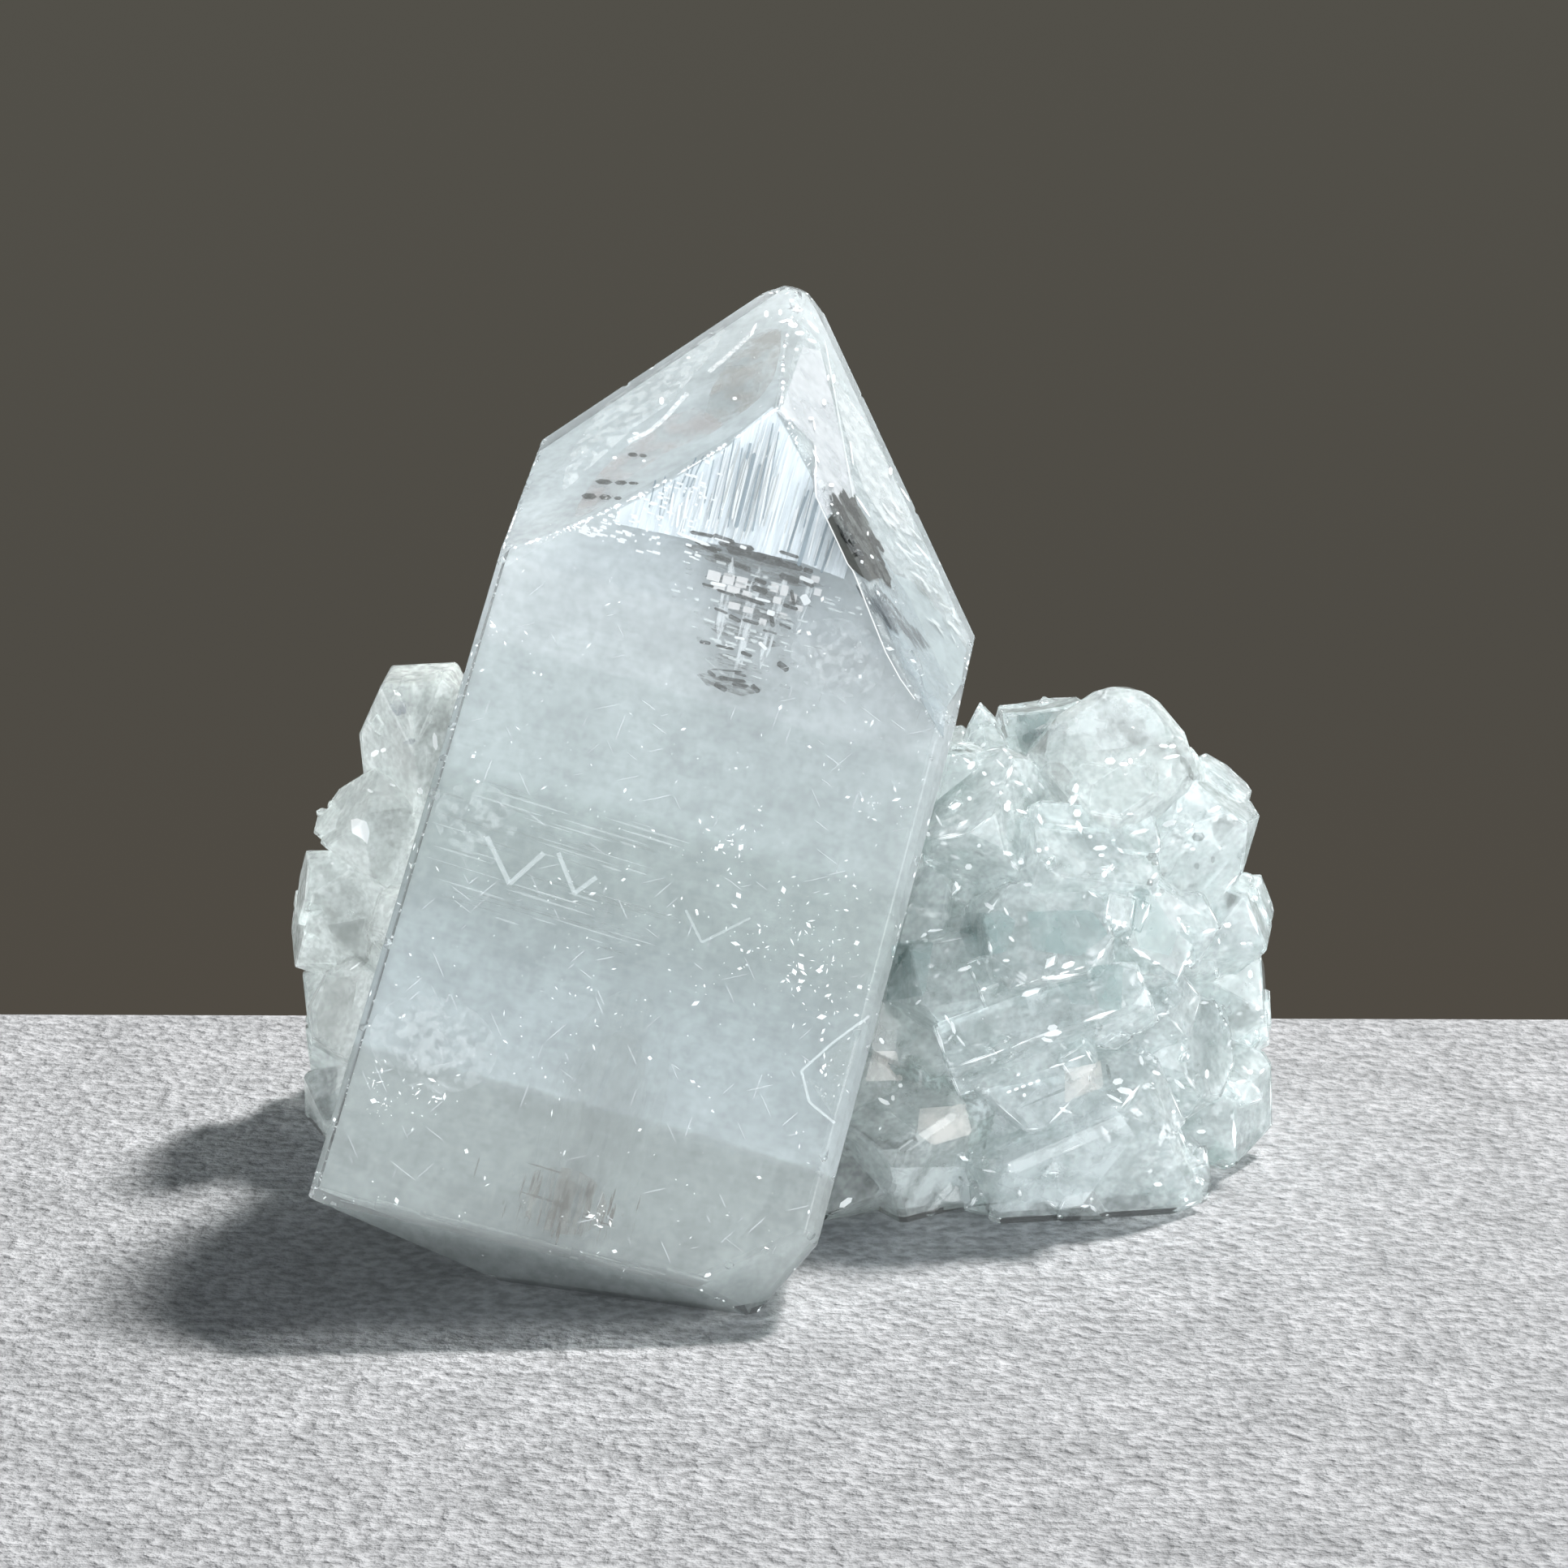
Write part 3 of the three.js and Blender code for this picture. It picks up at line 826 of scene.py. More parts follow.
grains = []
low, high = np.array(part_low) / MM, np.array(part_high) / MM
for region, count, widths in ((CLEAR, 130, (0.8, 3.0)), (SUGAR, 50, (0.8, 2.4))):
    points, normals = surface_points(body.data, region, count, steps)
    for i, (point, normal) in enumerate(zip(points, normals)):
        width = widths[0] + (widths[1] - widths[0]) * steps.uniform() ** 2
        reach = 0.5 * width
        if (point - reach < low).any() or (point + reach > high).any():
            continue
        axis = normal + steps.normal(0, 0.35, 3)
        size = [width, width * steps.uniform(0.7, 1.2), width * steps.uniform(0.8, 1.4)]
        name = f"grain_{region}_{i}"
        if i % 4:
            grains.append(chip(name, point - normal * 0.30 * width, 0.5 * width, steps, region, True))
        else:
            at = point - normal * 0.40 * width + MIDDLE
            grains.append(placed(name, at, size, axis, steps.uniform(0, 90), 0.3 * width, region, 0.05))
# the broken lip along the foot of the right lobe
for i, (x, y) in enumerate((
    (9.8, -5.7), (11.1, -6.3), (12.7, -6.0),
    (14.2, -6.2), (15.0, -5.3), (16.1, -4.5), (16.9, -4.9), (18.6, -2.9), (19.8, -2.6),
)):
    radius = steps.uniform(1.3, 2.0)
    at = np.array([x, y + 0.7 * radius, 0.9])
    grains.append(chip(f"lip_{i}", at, radius, steps, CLEAR, True))
# and the crystals that close the gap between it and the large crystal, with broad flat fronts
for i, (x, y, z) in enumerate((
    (7.9, 0.6, 18.6), (7.4, 0.1, 15.8), (6.6, -1.0, 13.4), (5.9, -1.4, 10.7), (5.4, -2.2, 8.2),
    (7.6, -2.2, 7.6), (3.7, -3.6, 4.4), (6.2, -4.2, 1.3), (3.4, -4.6, 1.2), (8.2, -3.9, 1.8),
)):
    size = [steps.uniform(3.6, 4.8), steps.uniform(3.6, 4.6), 4.0]
    axis = [steps.uniform(-0.35, 0.35), -0.95, 0.45 + steps.uniform(-0.2, 0.2)]
    at = np.array([x, y + 1.4, z]) + MIDDLE
    grains.append(
        placed(f"filler_{i}", at, size, axis, steps.uniform(0, 90), 0.8, CLEAR if z > 8.3 else SUGAR, 0.12)
    )
boolean(body, "UNION", grains)
print("druse crystals:", len(grains))
boolean(body, "DIFFERENCE", cutters)
dropped = keep_outer_skin(body.data)
set_corner_places(body.data, np.clip(corner_places(body.data), part_low, part_high))
body.data.update()
print("body:", len(body.data.vertices), "corners,", len(body.data.polygons), "faces;", dropped, "dropped")
regions = np.empty(len(body.data.polygons), np.int32)
body.data.polygons.foreach_get("material_index", regions)
print("faces by region:", np.bincount(regions), STONE_NAMES)

# %% Face values of the regions
for name, values in (
    ("etched", {POINT: 0.15, CLEAR: 0.12, SUGAR: 0.1, FROST: 0.4, PRISM: 0.04, BROKEN: 1.0, WORN: 0.6}),
    ("frosted", {SUGAR: 1.0, FROST: 0.8, BROKEN: 1.0}),
    ("worn", {WORN: 1.0, BROKEN: 0.5}),
):
    layer = body.data.attributes.new(name, "FLOAT", "FACE")
    layer.data.foreach_set("value", np.array([values.get(r, 0.0) for r in range(7)])[regions])
print("face values:", [a.name for a in body.data.attributes if a.domain == "FACE"])

# %% [markdown]
# ## Stone
# The outside is clear and glassy: light goes in by plain transmission, bends, and shows what lies
# inside. The milk of the real crystal lies in zones across its length, just under the faces. It
# could be painted on the outside, but it would then hide the gloss. So the milk is on inner growth
# surfaces, which have the crystal's own shape, and the outside stays clear.


# %% Places in the large crystal's own frame
def own_place(tree):
    """Object coordinates turned, moved and scaled to the large crystal's own frame, in mm."""
    place = add_node(tree, "ShaderNodeTexCoord").outputs["Object"]
    shift = -(LEAN.T @ IDEAL_POINT)
    turn = Matrix(LEAN.T.tolist()).to_euler("XYZ")
    mapping = add_node(
        tree,
        "ShaderNodeMapping",
        vector_type="POINT",
        inputs={"Vector": place, "Location": tuple(shift), "Rotation": turn, "Scale": (1 / MM,) * 3},
    )
    return mapping.outputs["Vector"]


def plain_place(tree):
    """Object coordinates in mm."""
    place = add_node(tree, "ShaderNodeTexCoord").outputs["Object"]
    return add_node(tree, "ShaderNodeMapping", inputs={"Vector": place, "Scale": (1 / MM,) * 3}).outputs[0]


print("places: the crystal's own frame and plain, both in mm")

# %% Fine etching, as a group
etching, entry, leave = new_group(
    "fine_etching",
    [("Place", VECTOR, None), ("Scale", NUMBER, 1.0), ("Stretch", VECTOR, (1.0, 1.0, 1.0))],
    [("Height", NUMBER), ("Mask", NUMBER)],
)
pulls = {0: entry.outputs["Place"], 1: entry.outputs["Stretch"]}
pulled = add_node(etching, "ShaderNodeVectorMath", operation="MULTIPLY", inputs=pulls).outputs[0]
broad = noise(etching, pulled, entry.outputs["Scale"], 4.0)
feed(etching, leave.inputs["Height"], broad)
feed(etching, leave.inputs["Mask"], ramp(etching, broad, [(0.42, 0.0), (0.62, 1.0)]))
print("groups:", [g.name for g in bpy.data.node_groups])


# %% Clear stone
STONE_IOR = 1.535
GREEN_OF_THICK_STONE, ABSORPTION = (0.62, 0.86, 0.82, 1), 5.0
LEAVING = (0.97, 0.98, 0.98, 1)
ENTERING = (0.16, 0.18, 0.17, 1)


def stone_finish(name, colour, frosted_colour, clear, roughness, etch_scale):
    """Glassy stone: a Principled shader with plain transmission over a weak absorption, and a faintly
    etched face. Three face values say where it is etched, frosted or worn. Shadow rays pass, hardly
    weaker where they leave the stone and much weaker where they enter, so that lamps light what lies
    inside and the table still gets its shadow."""
    material, tree, output = new_material(name)
    etched, frosted, worn = (
        add_node(
            tree, "ShaderNodeAttribute", attribute_type="GEOMETRY", attribute_name=layer
        ).outputs["Fac"] for layer in ("etched", "frosted", "worn")
    )
    marks = add_node(tree, "ShaderNodeGroup", node_tree=etching)
    tree.links.new(plain_place(tree), marks.inputs["Place"])
    marks.inputs["Scale"].default_value = etch_scale
    relief = add_node(
        tree,
        "ShaderNodeBump",
        inputs={
            "Strength": 0.9,
            "Distance": 0.05 * MM,
            "Height": do_math(tree, "MULTIPLY", marks.outputs["Height"], etched),
        },
    )
    dull = do_math(tree, "MULTIPLY_ADD", marks.outputs["Mask"], roughness[1] - roughness[0], roughness[0])
    dull = do_math(tree, "MULTIPLY_ADD", frosted, 0.05, dull)
    dull = do_math(tree, "MULTIPLY_ADD", worn, 0.20, dull)
    shader = add_node(
        tree,
        "ShaderNodeBsdfPrincipled",
        inputs={
            "Base Color": mix_colours(tree, frosted, colour, frosted_colour),
            "Roughness": dull,
            "IOR": STONE_IOR,
            "Transmission Weight": clear,
            "Normal": relief.outputs["Normal"],
        },
    )
    side = add_node(tree, "ShaderNodeNewGeometry").outputs["Backfacing"]
    tint = mix_colours(tree, side, ENTERING, LEAVING)
    through = add_node(tree, "ShaderNodeBsdfTransparent", inputs={"Color": tint})
    path = add_node(tree, "ShaderNodeLightPath")
    mix = add_node(tree, "ShaderNodeMixShader")
    tree.links.new(path.outputs["Is Shadow Ray"], mix.inputs[0])
    tree.links.new(shader.outputs[0], mix.inputs[1])
    tree.links.new(through.outputs[0], mix.inputs[2])
    tree.links.new(mix.outputs[0], output.inputs["Surface"])
    green = {"Color": GREEN_OF_THICK_STONE, "Density": ABSORPTION}
    deep = add_node(tree, "ShaderNodeVolumeAbsorption", inputs=green)
    tree.links.new(deep.outputs[0], output.inputs["Volume"])
    return material


prism_stone = stone_finish(
    "clear_prism",
    colour=(0.96, 0.985, 0.99, 1),
    frosted_colour=(0.92, 0.94, 0.94, 1),
    clear=0.88,
    roughness=(0.02, 0.06),
    etch_scale=0.9,
)
druse_stone = stone_finish(
    "clear_druse",
    colour=(0.93, 0.97, 0.97, 1),
    frosted_colour=(0.94, 0.965, 0.95, 1),
    clear=0.86,
    roughness=(0.02, 0.06),
    etch_scale=1.4,
)
body.data.materials.clear()
body.data.materials.append(prism_stone)
body.data.materials.append(druse_stone)
IN_DRUSE = [region in (CLEAR, SUGAR, FROST) for region in range(7)]
body.data.polygons.foreach_set("material_index", np.array(IN_DRUSE, np.int32)[regions])
body.data.update()
print("stone:", [m.name for m in body.data.materials])

# %% [markdown]
# ## Milk inside the large crystal
# A crystal that stopped and started as it grew keeps the old shapes inside as faint surfaces, with
# milk between some of them. Here two smaller copies of the crystal stand one inside the other.
# The milk is thick from the second growth line to the fourth and thin in the point and the foot.

# %% Growth zones, as a group
growth_zones, entry, leave = new_group(
    "growth_zones",
    [("Place", VECTOR, None), ("Wave", NUMBER, 0.5), ("Cloud", NUMBER, 0.3)],
    [("Milk", NUMBER), ("Tint", COLOUR)],
)
place = entry.outputs["Place"]
height = add_node(growth_zones, "ShaderNodeSeparateXYZ", inputs={"Vector": place}).outputs["Z"]
swing = do_math(growth_zones, "SUBTRACT", noise(growth_zones, place, 0.22, 3.0), 0.5)
level = do_math(growth_zones, "MULTIPLY_ADD", swing, entry.outputs["Wave"], height)
fray = do_math(growth_zones, "SUBTRACT", noise(growth_zones, place, 1.6, 4.0), 0.5)
along = do_math(growth_zones, "MULTIPLY_ADD", fray, 0.35, level)
share = do_math(growth_zones, "MULTIPLY", along, -1 / 52.0, clamp=True)
thick = ramp(
    growth_zones,
    share,
    [
        (0.0, 0.86),
        (0.10, 0.78),
        (0.345, 0.76),
        (0.402, 0.80),
        (0.406, 0.92),
        (0.484, 0.90),
        (0.488, 0.84),
        (0.600, 0.85),
        (0.612, 0.74),
        (0.720, 0.76),
        (0.740, 0.86),
        (0.864, 0.90),
        (0.868, 0.66),
        (1.0, 0.70),
    ],
)
puffs = ramp(growth_zones, noise(growth_zones, place, 0.5, 7.0), [(0.30, 0.0), (0.70, 1.0)])
uneven = do_math(growth_zones, "MULTIPLY_ADD", puffs, entry.outputs["Cloud"], 0.85)
feed(growth_zones, leave.inputs["Milk"], do_math(growth_zones, "MULTIPLY", thick, uneven, clamp=True))
tint = ramp(
    growth_zones,
    share,
    [
        (0.0, (0.92, 0.975, 0.995, 1)),
        (0.25, (0.86, 0.95, 0.985, 1)),
        (0.402, (0.88, 0.945, 0.975, 1)),
        (0.406, (0.85, 0.905, 0.925, 1)),
        (0.484, (0.82, 0.88, 0.895, 1)),
        (0.488, (0.77, 0.84, 0.85, 1)),
        (0.600, (0.73, 0.81, 0.815, 1)),
        (0.615, (0.665, 0.75, 0.74, 1)),
        (0.680, (0.605, 0.685, 0.675, 1)),
        (0.740, (0.60, 0.675, 0.685, 1)),
        (0.800, (0.65, 0.725, 0.745, 1)),
        (0.864, (0.72, 0.79, 0.81, 1)),
        (0.868, (0.63, 0.69, 0.68, 1)),
        (1.0, (0.62, 0.68, 0.67, 1)),
    ],
)
flat = {"Vector": place, "Scale": (0.35, 0.35, 5.0)}
layered_place = add_node(growth_zones, "ShaderNodeMapping", inputs=flat).outputs[0]
mottle = do_math(growth_zones, "MULTIPLY", noise(growth_zones, layered_place, 1.0, 4.0), 0.25)
mottle = do_math(growth_zones, "MULTIPLY_ADD", noise(growth_zones, place, 2.6, 7.0), 0.75, mottle)
mottle = ramp(growth_zones, mottle, [(0.36, 0.765), (0.64, 0.935)])
feed(growth_zones, leave.inputs["Tint"], mix_colours(growth_zones, 1.0, tint, mottle, blend="MULTIPLY"))
print("groups:", [g.name for g in bpy.data.node_groups])


# %% Milk material
def milk_material(name, strength, wave, cloud):
    """Soft white scattering whose alpha is the thickness of the milk at that place."""
    material, tree, output = new_material(name)
    zones = add_node(tree, "ShaderNodeGroup", node_tree=growth_zones)
    tree.links.new(own_place(tree), zones.inputs["Place"])
    zones.inputs["Wave"].default_value = wave
    zones.inputs["Cloud"].default_value = cloud
    alpha = do_math(tree, "MULTIPLY", zones.outputs["Milk"], strength, clamp=True)
    principled(tree, output, milky(zones.outputs["Tint"], alpha, 0.004), subsurface_method="BURLEY")
    return material


print("materials so far:", len(bpy.data.materials))

# %% Inner growth surfaces
inner_pieces = []
for name, inset, strength, wave, cloud in (
    ("milk_outer", 0.5, 0.82, 0.6, 0.34),
    ("milk_middle", 2.6, 0.90, 1.2, 0.45),
):
    # nearer the left side and its bevel, and deeper under the dish of the left point face
    near = min(inset, 0.34)
    insets = {LEFT_SIDE_AT: near, LEFT_BEVEL_AT: near, LEFT_POINT_AT: max(inset, 0.85)}
    shrunk = [[*p[:3], p[3] - insets.get(i, inset)] for i, p in enumerate(large_planes)]
    shrunk.append([*(-LEAN[2]), IDEAL_POINT[2] - 0.4 - inset / 2])
    points, faces, _ = convex_crystal(shrunk)
    piece = mesh_object(name, standing(points) * MM, faces, [milk_material(name, strength, wave, cloud)])
    inner_pieces.append(piece)
print("inner surfaces:", [p.name for p in inner_pieces])


# %% Milk inside the lobes
def lobe_milk_finish(name, colour, alpha, glow=0.0):
    """Soft white scattering in patches: two tones, mixed by a noise and by the cells of a Voronoi
    pattern, with pale lines where two cells meet. The glow is painted light: it stands for light
    scattered through the stone, and lifts the sides of the lobes that lie in shade."""
    material, tree, output = new_material(name)
    place = plain_place(tree)
    cloud = noise(tree, place, 0.9, 7.0)
    cell = {"Vector": place, "Scale": 0.42}
    cells = add_node(tree, "ShaderNodeTexVoronoi", inputs=cell)
    walls = add_node(tree, "ShaderNodeTexVoronoi", feature="DISTANCE_TO_EDGE", inputs=cell)
    patch = add_node(tree, "ShaderNodeSeparateColor", inputs={"Color": cells.outputs["Color"]}).outputs[0]
    mixed = do_math(tree, "MULTIPLY_ADD", cloud, 0.8, do_math(tree, "MULTIPLY", patch, 0.45))
    tone = mix_colours(tree, ramp(tree, mixed, [(0.42, 0.0), (0.78, 1.0)]), colour[0], colour[1])
    seam = ramp(tree, walls.outputs["Distance"], [(0.0, 1.0), (0.06, 0.0)])
    seam = do_math(tree, "MULTIPLY", seam, ramp(tree, cloud, [(0.45, 0.0), (0.6, 0.8)]))
    tone = mix_colours(tree, seam, tone, (0.95, 0.98, 0.98, 1))
    fine = noise(tree, place, 3.2, 6.0)
    grain = ramp(tree, fine, [(0.40, 0.72), (0.60, 1.0)])
    tone = mix_colours(tree, 1.0, tone, grain, blend="MULTIPLY")
    solid = ramp(tree, cloud, [(0.3, alpha[0]), (0.6, alpha[1])])
    solid = do_math(tree, "MULTIPLY", solid, ramp(tree, fine, [(0.36, 0.80), (0.58, 1.0)]))
    shine = {"Emission Color": (0.88, 0.94, 0.94, 1), "Emission Strength": glow}
    principled(tree, output, milky(tone, solid, 0.0025) | shine, subsurface_method="BURLEY")
    return material


def lobe_milk(name, lobe, scale, material, cracks):
    """A milky mass inside a lobe: a ball stretched to the lobe's half sizes, made smaller, and broken
    into flat cells. Each corner takes the nearest of many random ways, and its distance then grows or
    falls evenly across that way's cell, by up to 6 percent. Cut level above the table."""
    way, faces = ball_mesh(6)
    seeds = cracks.normal(size=(260, 3))
    seeds /= np.linalg.norm(seeds, axis=1, keepdims=True)
    owner = (way @ seeds.T).argmax(1)
    slopes = cracks.normal(0, 0.26, (len(seeds), 3))
    heights = cracks.uniform(-0.03, 0.03, len(seeds))
    swell = 1 + heights[owner] + ((way - seeds[owner]) * slopes[owner]).sum(1)
    points = way * swell[:, None] * lobe["half"] * scale + lobe["centre"] - MIDDLE
    points[:, 2] = np.maximum(points[:, 2], 0.8 + 0.2 * np.sin(points[:, 0]))
    return mesh_object(name, points * MM, faces, [material])


MINT = ((0.43, 0.52, 0.507, 1), (0.67, 0.735, 0.745, 1))
PALE_GREY = ((0.68, 0.71, 0.70, 1), (0.88, 0.90, 0.90, 1))
mint_milk = lobe_milk_finish("milk_mint", MINT, (0.80, 0.98), 0.09)
grey_milk = lobe_milk_finish("milk_grey", PALE_GREY, (0.84, 0.98), 0.19)
cracks = np.random.default_rng(3)
inner_pieces.append(lobe_milk("milk_right", LOBES["right"], 0.93, mint_milk, cracks))
inner_pieces.append(lobe_milk("milk_left", LOBES["left"], 0.93, grey_milk, cracks))
inner_pieces.append(lobe_milk("milk_back", LOBES["middle"], 0.90, mint_milk, cracks))
SKIN_DEPTH, SKIN_FLOOR, PRISM_ROOM = 0.20, 0.3, 0.4
shell = body.copy()
shell.name = "milk_druse"
shell.data = body.data.copy()
bpy.context.scene.collection.objects.link(shell)
ways = np.empty(len(shell.data.vertices) * 3)
shell.data.vertex_normals.foreach_get("vector", ways)
corners = corner_places(shell.data) - ways.reshape(-1, 3) * SKIN_DEPTH * MM
corners[:, 2] = np.maximum(corners[:, 2], SKIN_FLOOR * MM)
set_corner_places(shell.data, corners)
grown_planes = [[*p[:3], p[3] + PRISM_ROOM] for p in large_planes]
points, faces, _ = convex_crystal(grown_planes)
boolean(shell, "DIFFERENCE", [operand("room_for_the_large_crystal", standing(points), faces, PRISM)])
shell.data.materials.clear()
skins = [((0.57, 0.65, 0.65, 1), (0.82, 0.87, 0.88, 1)), ((0.61, 0.655, 0.65, 1), (0.79, 0.835, 0.83, 1))]
shell.data.materials.append(lobe_milk_finish("milk_skin", skins[0], (0.13, 0.48), 0.08))
shell.data.materials.append(lobe_milk_finish("milk_left_skin", skins[1], (0.38, 0.76), 0.16))
middles = np.empty(len(shell.data.polygons) * 3)
shell.data.polygons.foreach_get("center", middles)
x, _, z = middles.reshape(-1, 3).T / MM
shell.data.polygons.foreach_set("material_index", ((x < -7) & (z > 6)).astype(np.int32))
shell.data.update()
inner_pieces.append(shell)
for finish in stone_finishes:
    bpy.data.materials.remove(finish)
print("milk under the druse's skin:", len(shell.data.polygons), "faces")
print("milk in the lobes:", [p.name for p in inner_pieces[-4:]])

# %% [markdown]
# ## Marks inside the large crystal
# Under the front face of the real crystal lie fine growth lines, dark gaps that mirror the back
# faces, thin pale cracks and bright flakes. They could be painted, but paint has no depth. Here each
# mark is a thin closed slab or flake of its own, meant to lie a few tenths of a millimetre inside
# the face. Some of them are painted light: the bright fan and the white glints are painted
# reflection and highlight, with a little glow, and the dark windows and tints of the point faces
# are painted shade. Some marks, most of them those of the right point face, still come out of the
# stone. The tables of places were worked out outside this lesson.


# %% Thin slabs under a face
def on_face(face, x, z, depth):
    """Own-frame points below a face: y is what the face's plane leaves once x and z are known."""
    y = (face[3] - depth - face[0] * x - face[2] * z) / face[1]
    return np.stack([x, y, z], -1)


def slab_faces(count, corners):
    """Faces of closed slabs whose corners are numbered slab by slab, the near outline before the far
    one: two lids that look opposite ways, and a wall of four-cornered faces round the edge."""
    ring = np.arange(corners)
    after = np.roll(ring, -1)
    lids = [ring.tolist(), (ring[::-1] + corners).tolist()]
    walls = np.stack([ring + corners, after + corners, after, ring], 1).tolist()
    return [[c + i * 2 * corners for c in f] for i in range(count) for f in lids + walls]


def inner_piece(name, near, far, material):
    """A piece of closed slabs from the near and far corners of each, in mm of the part's frame."""
    points = np.concatenate([near, far], 1).reshape(-1, 3) * MM
    piece = mesh_object(name, points, slab_faces(*near.shape[:2]), [material])
    inner_pieces.append(piece)
    return piece


def slabs(name, face, outlines, depth, material, thickness=0.03):
    """Closed slabs under a face. Outlines are (count, corners, 2) in own x and z, anticlockwise as
    seen from outside. Each outline is laid down twice, a thickness apart, and joined by a wall."""
    x, z = np.moveaxis(np.asarray(outlines, float), -1, 0)
    near, far = (standing(on_face(face, x, z, d)) for d in (depth, depth + thickness))
    return inner_piece(name, near, far, material)


def dashes(x, z, half_long, half_high, tilt=0.0, blunt=0.5):
    """Outlines of dashes: a line of half_long each way, half_high thick between its blunt shoulders,
    pointed at both ends, turned by tilt."""
    x, z, a, b, t = (v.ravel() for v in np.broadcast_arrays(x, z, half_long, half_high, tilt))
    along = np.array([-1, -blunt, blunt, 1, blunt, -blunt]) * a[:, None]
    across = np.array([0, -1, -1, 0, 1, 1]) * b[:, None]
    c, s = np.cos(t)[:, None], np.sin(t)[:, None]
    return np.stack([x[:, None] + c * along - s * across, z[:, None] + s * along + c * across], -1)


def ribbon(path, width):
    """Outlines of a line of given width along a path, one four-cornered piece for each stretch."""
    path = np.asarray(path, float)
    a, b = path[:-1], path[1:]
    way = (b - a) / np.linalg.norm(b - a, axis=1, keepdims=True)
    side = np.stack([way[:, 1], -way[:, 0]], 1) * width / 2
    return np.stack([a + side, b + side, b - side, a - side], 1)


def evenly(grain):
    """The stretch of a noise that is equally fine in all directions, or none."""
    return (grain,) * 3 if grain else None


def mark_material(name, colour, alpha, stretch=None, roughness=0.5, glow=0.0):
    """A mark's finish: one colour, and an alpha that is plain or broken up along a stretched noise.
    A little glow is painted light: it stands for light that the back faces send up inside the point,
    makes glints shine, and lifts facets of the lobes that lie in shade."""
    material, tree, output = new_material(name)
    if stretch:
        marks = add_node(tree, "ShaderNodeGroup", node_tree=etching)
        tree.links.new(own_place(tree), marks.inputs["Place"])
        marks.inputs["Stretch"].default_value = stretch
        alpha = do_math(tree, "MULTIPLY_ADD", marks.outputs["Mask"], alpha[1] - alpha[0], alpha[0])
    shine = {"Emission Color": (0.9, 0.96, 1.0, 1), "Emission Strength": glow}
    principled(tree, output, {"Base Color": colour, "Roughness": roughness, "Alpha": alpha} | shine)
    return material


print("inner pieces so far:", len(inner_pieces))

# %% Places under the skin
skin = bmesh.new()
skin.from_mesh(body.data)
stone = BVHTree.FromBMesh(skin)
skin.free()


def inside_stone(points):
    """Whether each place, in mm, is inside: the nearest face of the stone looks away from it."""
    near = [stone.find_nearest(Vector(p * MM)) for p in points]
    return np.array([(Vector(p * MM) - at).dot(way) < 0 for p, (at, way, _, _) in zip(points, near)])


TILT = math.radians(LOOK_DOWN)
BACK, UP = Vector((0, math.cos(TILT), -math.sin(TILT))), Vector((0, math.sin(TILT), math.cos(TILT)))


RIM, RINGS, SHEET = 32, 6, 0.04
MOST_STEP = 1.5


def under_skin(across, up, depth):
    """Places below the side of the stone that looks to the front and 15 degrees up: a ray goes back
    through each place of that view, and where it meets the skin the place is that much further in.
    The inputs are mm to the right and mm up the view, and the result is in mm."""
    rows = []
    for x, u in zip(np.ravel(across), np.ravel(up)):
        start = Vector((x * MM, 0, 0)) + UP * (u * MM) - BACK * 0.09
        at, way, _, _ = stone.ray_cast(start, BACK)
        rows.append([np.nan] * 3 if at is None else np.array(at) / MM - np.array(way) * depth)
    return np.array(rows).reshape(*np.shape(across), 3)


def under_skin_slabs(name, outlines, depth, material):
    """Closed slabs that follow the skin at a depth. Outlines are (count, corners, 2), across and up.
    Those that miss the stone, or would cross a step of more than MOST_STEP mm, are left out."""
    outlines = np.asarray(outlines, float)
    near = under_skin(outlines[..., 0], outlines[..., 1], depth)
    far = under_skin(outlines[..., 0], outlines[..., 1], depth + SHEET)
    whole = np.isfinite(near).all((1, 2)) & (np.ptp(near[..., 1], axis=1) < MOST_STEP)
    return inner_piece(name, near[whole], far[whole], material)


def patch(name, outlines, depth, material):
    """Tinted sheets that follow the skin. Each outline is filled by rings of RIM corners that shrink
    to its middle, laid down twice, a sheet's thickness apart, and joined by a wall round the edge."""
    all_points, all_faces = [], []
    under = RIM * RINGS
    last = under - RIM
    j = np.arange(RIM)
    k = (j + 1) % RIM
    for outline in outlines:
        outline = np.asarray(outline, float)
        closed = np.concatenate([outline, outline[:1]])
        walk = np.concatenate([[0], np.cumsum(np.linalg.norm(np.diff(closed, axis=0), axis=1))])
        along = np.linspace(0, walk[-1], RIM + 1)[:-1]
        rim = np.stack([np.interp(along, walk, closed[:, 0]), np.interp(along, walk, closed[:, 1])], 1)
        middle = outline.mean(0)
        rings = middle + (rim - middle) * np.linspace(1, 0.12, RINGS)[:, None, None]
        near = under_skin(rings[..., 0], rings[..., 1], depth)
        if not np.isfinite(near).all():
            continue
        far = near + [0, SHEET, 0]
        start = sum(len(p) for p in all_points)
        for i in range(RINGS - 1):
            a, b = start + RIM * i, start + RIM * (i + 1)
            all_faces += np.stack([a + j, b + j, b + k, a + k], 1).tolist()
            all_faces += (np.stack([a + k, b + k, b + j, a + j], 1) + under).tolist()
        all_faces += [(start + last + j[::-1]).tolist(), (start + under + last + j).tolist()]
        all_faces += np.stack([start + j, start + k, start + k + under, start + j + under], 1).tolist()
        all_points += [near.reshape(-1, 3), far.reshape(-1, 3)]
    piece = mesh_object(name, np.concatenate(all_points) * MM, all_faces, [material])
    inner_pieces.append(piece)
    return piece


print("faces of the stone to look under:", len(body.data.polygons))

